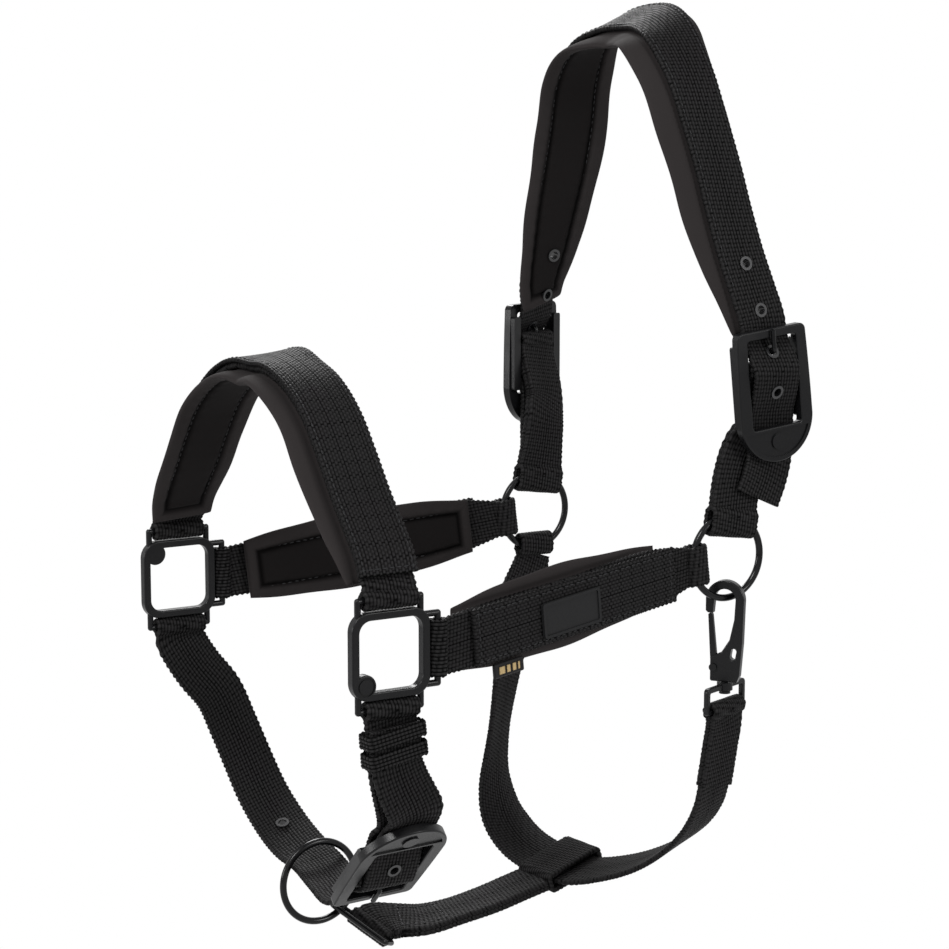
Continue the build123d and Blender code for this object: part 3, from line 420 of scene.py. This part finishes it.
def boxTrack(centre, side, across, halfSide, halfTall, width, radius=1.6, step=0.5):
    # closed band with rounded corners in the plane square to across
    c, x, b = centre, unit(side), unit(across)
    y = np.cross(b, x)
    pos = []
    for sx, sy, start in ((1, 1, 0), (-1, 1, 1), (-1, -1, 2), (1, -1, 3)):
        for i in range(7):
            turn = math.pi / 2 * (start + i / 6)
            pos.append(c + x * (sx * (halfSide - radius) + radius * math.cos(turn))
                       + y * (sy * (halfTall - radius) + radius * math.sin(turn)))
    pos = np.array(pos + pos[:1])
    gaps = np.linalg.norm(np.diff(pos, axis=0), axis=1)
    knots = np.concatenate([[0], np.cumsum(gaps)])
    s = np.linspace(0, knots[-1], int(knots[-1] / step) + 1)[:-1]
    pos = np.stack([np.interp(s, knots, pos[:, i]) for i in range(3)], axis=1)
    track = makeTrack(pos, np.tile(b, (len(s), 1)), np.full(len(s), float(width)), True)
    if np.median(np.sum(track["out"] * (pos - c), axis=1)) < 0:
        track["out"] = -track["out"]
    return track


weaveValues = {"column": 1.6, "pick": 1.95, "relief": 0.42, "grid": 0.4, "selvedge": 0.32, "offset": 0.13}
coverWeave = {"column": 1.5, "pick": 2.2, "relief": 0.36, "grid": 0.4, "selvedge": 0.32, "offset": 0.5}
smooth = {"column": 1.6, "pick": 2.6, "relief": 0.0, "grid": 0.4, "selvedge": 0.0, "offset": 0.5}


def yarns(s, x, weave):
    # 1 on the crown of a yarn, 0 in the gap beside it
    column = np.floor(x / weave["column"] + 100)
    fx = x / weave["column"] + 100 - column
    fs = (s / weave["pick"] + weave["offset"] * column) % 1
    return np.sqrt(np.clip(1 - (2 * fx - 1) ** 2, 0, 1) * np.clip(1 - (2 * fs - 1) ** 2, 0, 1))


def gridFaces(rings, around, closed):
    rows = rings if closed else rings - 1
    i = np.arange(rows)[:, None]
    j = np.arange(around)[None, :]
    a, b = i * around + j, i * around + (j + 1) % around
    up = (i + 1) % rings
    c, d = up * around + (j + 1) % around, up * around + j
    faces = np.stack([a, b, c, d], axis=-1).reshape(-1, 4)
    if not closed:
        n = around // 2
        k = np.arange(n - 1)
        first = np.stack([k, around - 1 - k, around - 2 - k, k + 1], axis=-1)
        last = first[:, ::-1] + (rings - 1) * around
        faces = np.vstack([faces, first, last])
    return faces


stripValues = {"edge": 1.0, "edgeThin": 0.88, "lobePitch": 2.6, "backShift": 1.3, "sag": 0.10,
               "ripple": 0.06}


def stripPart(track, thick, weave=weaveValues):
    width = track["width"][:, None]
    n = int(round(track["width"].max() / weave["grid"])) + 1
    u = np.linspace(-1, 1, n)[None, :]
    s = track["length"][:, None]
    edge = stripValues["edge"]
    lobes = weave["selvedge"] * np.sin(2 * np.pi * s / stripValues["lobePitch"])
    lobes = lobes * np.abs(u) ** 14 * np.sign(u)
    x = u * width / 2
    reach = np.clip((np.abs(x) - (width / 2 - edge)) / edge, 0, 1)
    half = thick / 2 * np.sqrt(1 - stripValues["edgeThin"] * reach ** 2)
    lift = stripValues["sag"] * np.sin(s / 17.0 + 1.3) + stripValues["ripple"] * np.sin(s / 6.1)
    front, back = yarns(s, x, weave), yarns(s + stripValues["backShift"], x, weave)
    top = half + weave["relief"] * (front - 0.6) * (1 - 0.6 * reach ** 2)
    bottom = -half - weave["relief"] * (back - 0.6) * (1 - 0.6 * reach ** 2)
    x = x + lobes
    spread = np.stack([np.concatenate([x, x[:, ::-1]], axis=1),
                       np.concatenate([top, bottom[:, ::-1]], axis=1) + lift * 0.5], axis=-1)
    verts = (track["pos"][:, None, :] + track["across"][:, None, :] * spread[..., :1]
             + track["out"][:, None, :] * spread[..., 1:])
    # rise carries the yarn height to the cloth materials, which paint shade into the low places from it
    rise = np.concatenate([front, back[:, ::-1]], axis=1) if weave["relief"] else np.ones(spread.shape[:2])
    uv = np.stack([np.broadcast_to(s, spread.shape[:2]), spread[..., 0], rise], axis=-1)
    faces = gridFaces(len(verts), 2 * n, track["closed"])
    return verts.reshape(-1, 3), faces, uv.reshape(-1, 3)


holeDepth = 11    # past a hole's middle each way


def withoutHoles(part, holes, radius):
    verts, faces, uv = part
    middle = verts[faces].mean(axis=1)
    keep = np.ones(len(faces), bool)
    for centre, axis in holes:
        away = middle - centre
        depth = away @ axis
        side = np.linalg.norm(away - depth[:, None] * axis, axis=1)
        keep &= ~((side < radius) & (np.abs(depth) < holeDepth))
    return verts, faces[keep], uv


def makeObject(name, parts, material):
    verts, faces, uvs, start = [], [], [], 0
    for v, f, uv in parts:
        verts.append(v)
        faces.append(f + start)
        uvs.append(uv)
        start += len(v)
    verts, faces, uvs = np.vstack(verts) * 0.001, np.vstack(faces).astype(np.int32), np.vstack(uvs)
    mesh = bpy.data.meshes.new(name)
    mesh.vertices.add(len(verts))
    mesh.vertices.foreach_set("co", verts.ravel())
    mesh.loops.add(faces.size)
    mesh.loops.foreach_set("vertex_index", faces.ravel())
    mesh.polygons.add(len(faces))
    mesh.polygons.foreach_set("loop_start", np.arange(0, faces.size, 4, dtype=np.int32))
    mesh.polygons.foreach_set("use_smooth", np.ones(len(faces), bool))
    layer = mesh.uv_layers.new(name="grain")
    layer.data.foreach_set("uv", (uvs[faces.ravel(), :2] * 0.001).ravel())
    # the cloth materials paint shade where rise is low
    rise = mesh.attributes.new("rise", "FLOAT", "POINT")  # how far each point stands out of the weave
    rise.data.foreach_set("value", uvs[:, 2].astype(np.float32))
    mesh.update(calc_edges=True)
    mesh.validate()
    obj = bpy.data.objects.new(name, mesh)
    bpy.context.scene.collection.objects.link(obj)
    mesh.materials.append(material)
    return obj


# Stitches: small capsules laid along a track

stitchValues = {"pitch": 3.3, "long": 2.3, "wide": 0.34, "tall": 0.26, "rings": 5, "sides": 6,
                "wander": 0.05, "margin": 2}


def stitchShape():
    ringCount, sideCount = stitchValues["rings"], stitchValues["sides"]
    verts = []
    for i in range(ringCount):
        turn = math.pi * (i + 0.35) / (ringCount - 0.3) - math.pi / 2
        for j in range(sideCount):
            angle = 2 * math.pi * j / sideCount
            verts.append((math.sin(turn), math.cos(turn) * math.cos(angle), math.cos(turn) * math.sin(angle)))
    faces = gridFaces(ringCount, sideCount, False)
    return np.array(verts), faces


def stitchesOn(track, x, z, start=None, end=None, crossing=False):
    shape, shapeFaces = stitchShape()
    length = track["length"]
    lo = length[0] + stitchValues["margin"] if start is None else start
    hi = length[-1] - stitchValues["margin"] if end is None else end
    parts = []
    if crossing:
        spots = [(lo, px) for px in np.arange(-x, x + 0.1, stitchValues["pitch"])]
    else:
        spots = [(s, x) for s in np.arange(lo, hi, stitchValues["pitch"])]
    for s, px in spots:
        k = int(np.clip(np.searchsorted(length, s), 0, len(length) - 1))
        along, across, out = track["along"][k], track["across"][k], track["out"][k]
        if crossing:
            along, across = across, along
            middle = track["pos"][k] + along * px + out * z
        else:
            middle = track["pos"][k] + across * px + out * z
        turn = rng.normal(0, stitchValues["wander"])
        lean = along + across * turn
        verts = (middle + shape[:, :1] * lean * stitchValues["long"] / 2
                 + shape[:, 1:2] * across * stitchValues["wide"] + shape[:, 2:] * out * stitchValues["tall"])
        parts.append((verts, shapeFaces, np.ones((len(verts), 3))))
    return parts


# Padding: a foam core in cloth, stitched down beside the webbing and in two channels underneath

padValues = {"grid": 0.85, "channel": 1.5, "spread": 1.25, "pucker": 0.2, "puckerPitch": 7.5, "hem": 6.0,
             "channels": (-0.30, 0.27), "calm": 3.4, "beside": 12.9, "endRound": 3.0}


def padPart(track, thick, lean):
    left, right = (share * track["width"][:, None] for share in padValues["channels"])
    width = track["width"][:, None]
    n = int(round(track["width"].max() / padValues["grid"])) + 1
    turn = np.linspace(-math.pi / 2, math.pi / 2, n)[None, :]
    u = 0.35 * np.sin(turn) + 0.65 * np.linspace(-1, 1, n)[None, :]
    s = track["length"][:, None]
    fromEnd = np.minimum(s, track["length"][-1] - s)
    x = u * width / 2
    ends = np.clip(fromEnd / padValues["endRound"], 0, 1)
    half = thick / 2 * np.clip(1 - np.abs(u) ** 4.2, 0, 1) ** 0.45
    half = half * (0.35 + 0.65 * np.sqrt(ends * (2 - ends)))
    # the outer face rolls up beside the webbing and is pressed flat below it
    shift = lean * (width - webWidth) / 2
    beside = np.abs(np.abs(x - shift) - padValues["beside"])
    outer = half - 0.6 * np.exp(-(beside / 1.2) ** 2) - np.where(np.abs(x - shift) < webWidth / 2, 0.2, 0)
    # the inner face has a flatter panel between two sewn channels, closed by a hem at each end
    away = np.minimum(np.abs(x - left), np.abs(x - right))
    between = (x > left) & (x < right)
    fromHem = np.abs(fromEnd - padValues["hem"])
    panel = between & (fromEnd > padValues["hem"])
    away = np.where(between, np.minimum(away, fromHem), away)
    away = np.where(fromEnd > padValues["hem"], away, np.maximum(away, fromHem))
    sunk = np.exp(-(away / padValues["spread"]) ** 2)
    pucker = np.sin(2 * np.pi * s / padValues["puckerPitch"] + 2 * np.sin(s / 23.0))
    inner = half * np.where(panel, 0.86, 1.1) - padValues["channel"] * sunk
    inner = inner + padValues["pucker"] * pucker * np.exp(-(away / 3.4) ** 2)
    wander = 0.12 * np.sin(s / 11.0 + x / 9.0) + 0.09 * np.sin(s / 5.3 - x / 6.0)
    inner = np.maximum(inner + wander * np.clip(half, 0, 1), 0.02)
    outer = np.maximum(outer + 0.5 * wander * np.clip(half, 0, 1), 0.02)
    edgeWave = 0.28 * np.sin(s / 6.7) * np.abs(u) ** 6 * np.sign(u)
    across = np.concatenate([x + edgeWave, (x + edgeWave)[:, ::-1]], axis=1)
    height = np.concatenate([outer, -inner[:, ::-1]], axis=1)
    verts = (track["pos"][:, None, :] + track["across"][:, None, :] * across[..., None]
             + track["out"][:, None, :] * height[..., None])
    # painted shade: the inner face renders darker than the outer, and darker still over the sunk panel and in
    # the sewn channels
    innerShadeRise = np.where(panel, 0.5, 0.9) * (1 - 0.6 * sunk)
    rise = np.concatenate([np.ones(outer.shape), innerShadeRise[:, ::-1]], axis=1)
    uv = np.stack([np.broadcast_to(s, across.shape), across, rise], axis=-1)
    return verts.reshape(-1, 3), gridFaces(len(verts), 2 * n, False), uv.reshape(-1, 3)


# Materials
def newMaterial(name):
    material = bpy.data.materials.new(name)
    material.use_nodes = True
    tree = material.node_tree
    shader = next(n for n in tree.nodes if n.type == "BSDF_PRINCIPLED")
    return material, tree, shader


def buildGrainGroup():
    group = bpy.data.node_groups.new("grain", "ShaderNodeTree")
    face = group.interface
    face.new_socket(name="Vector", in_out="INPUT", socket_type="NodeSocketVector")
    for name, value in (("Scale", 900.0), ("Depth", 0.3), ("Spread", 0.25), ("Rise", 1.0), ("Shade", 0.0)):
        socket = face.new_socket(name=name, in_out="INPUT", socket_type="NodeSocketFloat")
        socket.default_value = value
    face.new_socket(name="Normal", in_out="OUTPUT", socket_type="NodeSocketVector")
    face.new_socket(name="Tone", in_out="OUTPUT", socket_type="NodeSocketFloat")
    face.new_socket(name="Wear", in_out="OUTPUT", socket_type="NodeSocketFloat")
    add, link = group.nodes.new, group.links.new
    inlet, outlet = add("NodeGroupInput"), add("NodeGroupOutput")
    fine = add("ShaderNodeTexNoise")
    fine.inputs["Detail"].default_value = 4
    fine.inputs["Roughness"].default_value = 0.6
    broad = add("ShaderNodeTexNoise")
    broad.inputs["Scale"].default_value = 28
    broad.inputs["Detail"].default_value = 3
    bump = add("ShaderNodeBump")
    bump.inputs["Distance"].default_value = 0.0002
    tone = add("ShaderNodeMapRange")
    wear = add("ShaderNodeMapRange")
    wear.inputs["From Min"].default_value = 0.52
    wear.inputs["From Max"].default_value = 0.72
    low = add("ShaderNodeMath")
    low.operation = "SUBTRACT"
    low.inputs[0].default_value = 1
    high = add("ShaderNodeMath")
    high.inputs[0].default_value = 1
    link(inlet.outputs["Vector"], fine.inputs["Vector"])
    link(inlet.outputs["Vector"], broad.inputs["Vector"])
    link(inlet.outputs["Scale"], fine.inputs["Scale"])
    link(inlet.outputs["Depth"], bump.inputs["Strength"])
    link(fine.outputs["Fac"], bump.inputs["Height"])
    link(inlet.outputs["Spread"], low.inputs[1])
    link(inlet.outputs["Spread"], high.inputs[1])
    link(low.outputs[0], tone.inputs["To Min"])
    link(high.outputs[0], tone.inputs["To Max"])
    link(broad.outputs["Fac"], tone.inputs["Value"])
    link(broad.outputs["Fac"], wear.inputs["Value"])
    link(bump.outputs["Normal"], outlet.inputs["Normal"])
    # painted shade: the gaps between yarns and other low places that Rise marks are darker by the share that
    # Shade gives
    gap = add("ShaderNodeMapRange")
    gap.inputs["From Min"].default_value = 0.3
    floor = add("ShaderNodeMath")
    floor.operation = "SUBTRACT"
    floor.inputs[0].default_value = 1
    shaded = add("ShaderNodeMath")
    shaded.operation = "MULTIPLY"
    link(inlet.outputs["Shade"], floor.inputs[1])
    link(inlet.outputs["Rise"], gap.inputs["Value"])
    link(floor.outputs[0], gap.inputs["To Min"])
    link(tone.outputs["Result"], shaded.inputs[0])
    link(gap.outputs["Result"], shaded.inputs[1])
    link(shaded.outputs[0], outlet.inputs["Tone"])
    link(wear.outputs["Result"], outlet.inputs["Wear"])
    return group


grainGroup = buildGrainGroup()


def useGrain(tree, shader, values):
    # base colour times the slow tone and the painted shade of the low places, and the fine grain on the
    # normal
    coord = tree.nodes.new("ShaderNodeTexCoord")
    grain = tree.nodes.new("ShaderNodeGroup")
    grain.node_tree = grainGroup
    for name in ("Scale", "Depth", "Spread"):
        grain.inputs[name].default_value = values["grain" + name]
    tint = tree.nodes.new("ShaderNodeVectorMath")
    tint.operation = "SCALE"
    tint.inputs[0].default_value = values["color"]
    tree.links.new(coord.outputs["Object"], grain.inputs["Vector"])
    tree.links.new(grain.outputs["Tone"], tint.inputs["Scale"])
    tree.links.new(tint.outputs[0], shader.inputs["Base Color"])
    tree.links.new(grain.outputs["Normal"], shader.inputs["Normal"])
    return grain


def clothMaterial(name, values):
    material, tree, shader = newMaterial(name)
    grain = useGrain(tree, shader, values)
    grain.inputs["Shade"].default_value = values["shade"]
    rise = tree.nodes.new("ShaderNodeAttribute")
    rise.attribute_name = "rise"
    rough = tree.nodes.new("ShaderNodeMapRange")
    rough.inputs["To Min"].default_value = 1.0
    rough.inputs["To Max"].default_value = values["roughness"]
    # painted shade: where rise is low the base colour is darkened by the Shade share, and the surface is
    # rougher
    tree.links.new(rise.outputs["Fac"], grain.inputs["Rise"])
    tree.links.new(rise.outputs["Fac"], rough.inputs["Value"])
    tree.links.new(rough.outputs["Result"], shader.inputs["Roughness"])
    shader.inputs["Specular IOR Level"].default_value = values["specular"]
    shader.inputs["Sheen Weight"].default_value = values["sheen"]
    shader.inputs["Sheen Roughness"].default_value = 0.45
    return material


def metalMaterial(name, values):
    material, tree, shader = newMaterial(name)
    grain = useGrain(tree, shader, values)
    rough = tree.nodes.new("ShaderNodeMapRange")
    rough.inputs["To Min"].default_value = values["roughness"]
    rough.inputs["To Max"].default_value = values["roughness"] + 0.16
    tree.links.new(grain.outputs["Wear"], rough.inputs["Value"])
    tree.links.new(rough.outputs["Result"], shader.inputs["Roughness"])
    shader.inputs["Specular IOR Level"].default_value = values["specular"]
    shader.inputs["Coat Weight"].default_value = values["coat"]
    shader.inputs["Coat Roughness"].default_value = 0.16
    return material


# shade: the share by which low places of the weave are painted darker, as painted shade
webbing = clothMaterial("webbing", {
    "color": (0.0195, 0.0188, 0.0192), "roughness": 0.42, "sheen": 0.0, "specular": 0.05, "shade": 0.95,
    "grainScale": 1500.0, "grainDepth": 0.5, "grainSpread": 0.25})
padding = clothMaterial("padding", {
    "color": (0.0235, 0.0208, 0.0208), "roughness": 0.85, "sheen": 0.02, "specular": 0.04, "shade": 0.9,
    "grainScale": 2600.0, "grainDepth": 0.35, "grainSpread": 0.15})
thread = clothMaterial("thread", {
    "color": (0.012, 0.012, 0.013), "roughness": 0.5, "sheen": 0.0, "specular": 0.2, "shade": 0.0,
    "grainScale": 2400.0, "grainDepth": 0.3, "grainSpread": 0.1})
castMetal = metalMaterial("castMetal", {
    "color": (0.005, 0.005, 0.0055), "roughness": 0.28, "coat": 0.0, "specular": 0.17,
    "grainScale": 1400.0, "grainDepth": 0.22, "grainSpread": 0.15})
wireMetal = metalMaterial("wireMetal", {
    "color": (0.003, 0.003, 0.0035), "roughness": 0.18, "coat": 0.0, "specular": 0.2,
    "grainScale": 1400.0, "grainDepth": 0.06, "grainSpread": 0.12})
eyeletMetal = metalMaterial("eyeletMetal", {
    "color": (0.012, 0.012, 0.013), "roughness": 0.18, "coat": 0.2, "specular": 0.4,
    "grainScale": 1400.0, "grainDepth": 0.03, "grainSpread": 0.12})
patchRubber = metalMaterial("patchRubber", {
    "color": (0.011, 0.011, 0.0115), "roughness": 0.45, "coat": 0.0, "specular": 0.12,
    "grainScale": 1400.0, "grainDepth": 0.5, "grainSpread": 0.12})
goldThread, _, goldShader = newMaterial("goldThread")
goldShader.inputs["Base Color"].default_value = (0.42, 0.30, 0.13, 1)
goldShader.inputs["Roughness"].default_value = 0.5
print("materials made")

# Webbing
crownBody = ("crownStrap", "crownPad", "nearUpperCheekStrap", "farUpperCheekStrap")


def cadName(name):
    return "".join("_" + c.lower() if c.isupper() else c for c in name)


def place(obj, name):
    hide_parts(cadName(name))
    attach(obj, "crown" if name in crownBody else "face")
    return obj


def loopParts(name):
    parts = []
    for centre, along, across, width, wire, room in loops.get(name, ()):
        track = loopTrack(centre, along, across, width, wire + seatWall, room)
        parts.append(stripPart(track, webThick - 0.1))
    return parts


def doubledParts(name):
    # two layers sewn together
    parts = []
    for side in (-1, 1):
        track = dict(tracks[name])
        track["pos"] = track["pos"] + track["out"] * side * webThick / 2
        parts.append(stripPart(track, webThick - 0.05))
    return parts


tracks = {name: readLine(name) for name in lines}
stitching = {"crown": [], "face": []}
strapHoleRadius, padHoleRadius = 2.5, 2.4

for name in ("crownStrap", "noseStrap", "nearCheekStrap", "farCheekStrap", "chinStrap", "chinBillet"):
    part = stripPart(tracks[name], lines[name][0])
    if name in ("crownStrap", "chinStrap"):
        part = withoutHoles(part, eyelets[name.replace("Strap", "Eyelets")], strapHoleRadius)
    place(makeObject(name, [part] + loopParts(name), webbing), name)

jawStitches = {"from": 14, "to": 34, "aside": 8.5, "across": 9.0, "height": 2.5}
for name in ("nearUpperCheekStrap", "farUpperCheekStrap", "jawStrap"):
    parts = doubledParts(name)
    if name == "jawStrap":
        halfSide = (webWidth + jawValues["sleeveRoom"] + webThick) / 2
        halfTall = (2 * webThick + jawValues["sleeveRoom"]) / 2
        sleeve = boxTrack(sleeveAt, sleeveAcross, sleeveAlong, halfSide, halfTall, webWidth)
        parts.append(stripPart(sleeve, webThick - 0.1))
        for x in (-jawStitches["aside"], jawStitches["aside"]):
            stitching["face"] += stitchesOn(tracks[name], x, jawStitches["height"], jawStitches["from"],
                                            jawStitches["to"])
        for end in (jawStitches["from"], jawStitches["to"]):
            stitching["face"] += stitchesOn(tracks[name], jawStitches["across"], jawStitches["height"],
                                            end, end, True)
    place(makeObject(name, parts + loopParts(name), webbing), name)

throatParts = [stripPart(tracks["throatStrap"], webThick)] + doubledParts("throatStrapFold")
place(makeObject("throatStrap", throatParts + loopParts("throatStrap"), webbing), "throatStrap")

# the keepers' places count Y from the corner frames
keeperValues = {"places": ((100.65, 0.7, -52.4), (100.3, 1.6, -60.7)), "side": (1, 0.105, -0.047),
                "across": (0.06, -0.12, 1), "halfSide": 4.3, "halfTall": 14.0, "wide": 6.4, "thick": 1.2}
keeperParts = []
for x, y, z in keeperValues["places"]:
    track = boxTrack(vec(x, y - frameReach, z), vec(*keeperValues["side"]), vec(*keeperValues["across"]),
                     keeperValues["halfSide"], keeperValues["halfTall"], keeperValues["wide"])
    keeperParts.append(stripPart(track, keeperValues["thick"]))
place(makeObject("chinKeepers", keeperParts, webbing), "chinKeepers")

coverStitches = {"fromEdge": 2.2, "fromEnd": 2.4, "lift": 0.14}
for name in ("noseCover", "nearCheekCover", "farCheekCover"):
    track = tracks[name]
    height = lines[name][0] / 2 + coverStitches["lift"]
    place(makeObject(name, [stripPart(track, lines[name][0], coverWeave)], webbing), name)
    edge = track["width"].mean() / 2 - coverStitches["fromEdge"]
    for x in (-edge, edge):
        stitching["face"] += stitchesOn(track, x, height)
    for end in (coverStitches["fromEnd"], track["length"][-1] - coverStitches["fromEnd"]):
        stitching["face"] += stitchesOn(track, edge, height, end, end, True)
crownStitches = {"aside": 10.4, "height": 1.4, "fromTail": 104}
for x in (-crownStitches["aside"], crownStitches["aside"]):
    track = tracks["crownStrap"]
    stitching["crown"] += stitchesOn(track, x, crownStitches["height"], crownStitches["fromTail"],
                                     track["length"][-1] - crownStitches["fromTail"])
print("webbing made")

# Padding pieces with their seams
padStitches = {"sunk": 1.45, "fromEnd": 7}
for name in ("crownPad", "nosePad", "nearCheekPad", "farCheekPad"):
    lean = 0 if "Cheek" in name else webValues["padLean"]
    track = readLine(name, padValues["grid"], padValues["calm"])
    part = padPart(track, padThick, lean)
    if name == "crownPad":
        part = withoutHoles(part, eyelets["crownEyelets"], padHoleRadius)
    pad = place(makeObject(name, [part], padding), name)
    body = "crown" if name == "crownPad" else "face"
    for share in padValues["channels"]:
        x, height = share * track["width"].mean(), padStitches["sunk"] - padThick / 2
        stitching[body] += stitchesOn(track, x, height, padStitches["fromEnd"],
                                      track["length"][-1] - padStitches["fromEnd"])
print("padding made")

for body, parts in stitching.items():
    obj = makeObject(body + "Stitching", parts, thread)
    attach(obj, body)
print("stitching made")

# Size tab with plain bars, each at a place along the tab with its length
tabValues = {"long": 16, "wide": 6.4, "thick": 1.6,
             "bars": ((-4.2, 3.0), (-0.6, 1.8), (2.6, 1.8), (5.2, 0.9)), "barTall": 3.2, "barThick": 0.35}
tabMiddle, tabAlong = middleOf("size_tab"), unit(cheekRuns["near"])


def straightTrack(middle, long, across, width, count):
    line = middle + tabAlong * np.linspace(-long / 2, long / 2, count)[:, None]
    return makeTrack(line, np.tile(across, (count, 1)), np.full(count, width))


tabTrack = straightTrack(tabMiddle, tabValues["long"], vec(*cheekValues["across"]), tabValues["wide"], 33)
tab = makeObject("sizeTab", [stripPart(tabTrack, tabValues["thick"], smooth)], webbing)
place(tab, "sizeTab")
tabUp, tabOut = tabTrack["across"][0], tabTrack["out"][0]
bars = []
for at, long in tabValues["bars"]:
    for side in (-1, 1):
        bar = straightTrack(tabMiddle + tabAlong * at + tabOut * side, long, tabUp, tabValues["barTall"], 5)
        bars.append(stripPart(bar, tabValues["barThick"], smooth))
barObject = makeObject("sizeTabBars", bars, goldThread)
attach(barObject, "face")

# Hardware keeps its shape and takes its finish
finishes = {"cast_metal": castMetal, "wire_metal": wireMetal, "eyelet_metal": eyeletMetal,
            "patch_rubber": patchRubber}
for piece in frame["record"]["subparts"]:
    finish = finishes.get(piece["material_slot"])
    if finish:
        obj = nodes[piece["node"]]
        for holder in obj.material_slots:
            holder.material = finish
print("hardware finished")

# Camera, light and ground
cameraValues = {"at": (0.9734, -0.6930, 0.2025), "lookDown": 8.335, "turn": 58.0, "lens": 96.12, "sensor": 36}
cameraData = bpy.data.cameras.new("camera")
cameraData.sensor_width = cameraValues["sensor"]
cameraData.lens = cameraValues["lens"]
camera = bpy.data.objects.new("camera", cameraData)
camera.location = cameraValues["at"]
camera.rotation_euler = (math.radians(90 - cameraValues["lookDown"]), 0, math.radians(cameraValues["turn"]))
bpy.context.scene.collection.objects.link(camera)
bpy.context.scene.camera = camera

lightValues = {
    "key": {"at": (0.55, -1.15, 1.25), "size": 0.5, "power": 20},
    "side": {"at": (1.4, 0.55, 0.6), "size": 0.45, "power": 11},
    "back": {"at": (-1.1, 0.3, 0.9), "size": 0.5, "power": 13},
    "front": {"at": (-0.4, -1.5, 0.2), "size": 0.5, "power": 8},
}
lightAim = Vector((0, -0.09, 0.02))
for name, values in lightValues.items():
    data = bpy.data.lights.new(name, "AREA")
    data.size = values["size"]
    data.energy = values["power"]
    lamp = bpy.data.objects.new(name, data)
    lamp.location = values["at"]
    lamp.rotation_euler = (lightAim - Vector(values["at"])).to_track_quat("-Z", "Y").to_euler()
    bpy.context.scene.collection.objects.link(lamp)

groundValues = {"size": 6, "height": -0.32, "color": (0.82, 0.82, 0.82, 1), "roughness": 0.9}
bpy.ops.mesh.primitive_plane_add(size=groundValues["size"], location=(0, 0, groundValues["height"]))
ground = bpy.context.object
ground.name = "ground"
groundMaterial, _, groundShader = newMaterial("ground")
groundShader.inputs["Base Color"].default_value = groundValues["color"]
groundShader.inputs["Roughness"].default_value = groundValues["roughness"]
ground.data.materials.append(groundMaterial)
ground.visible_camera = False

worldValues = {"fill": 0.36, "seen": 1.0}    # strength as light, and as seen straight or mirrored
world = bpy.data.worlds.new("surround")
bpy.context.scene.world = world
world.use_nodes = True
worldTree = world.node_tree
sky = next(n for n in worldTree.nodes if n.type == "BACKGROUND")
sky.inputs["Color"].default_value = (1, 1, 1, 1)
pathInfo = worldTree.nodes.new("ShaderNodeLightPath")
seen = worldTree.nodes.new("ShaderNodeMath")
seen.operation = "MAXIMUM"
shown = worldTree.nodes.new("ShaderNodeMath")
shown.operation = "MAXIMUM"
strength = worldTree.nodes.new("ShaderNodeMapRange")
strength.inputs["To Min"].default_value = worldValues["fill"]
strength.inputs["To Max"].default_value = worldValues["seen"]
worldTree.links.new(pathInfo.outputs["Is Camera Ray"], seen.inputs[0])
worldTree.links.new(pathInfo.outputs["Is Glossy Ray"], seen.inputs[1])
worldTree.links.new(seen.outputs[0], shown.inputs[0])
worldTree.links.new(pathInfo.outputs["Is Transmission Ray"], shown.inputs[1])
worldTree.links.new(shown.outputs[0], strength.inputs["Value"])
worldTree.links.new(strength.outputs["Result"], sky.inputs["Strength"])

view = bpy.context.scene.view_settings
view.view_transform = "Standard"
view.look = "None"

print("scene ready")
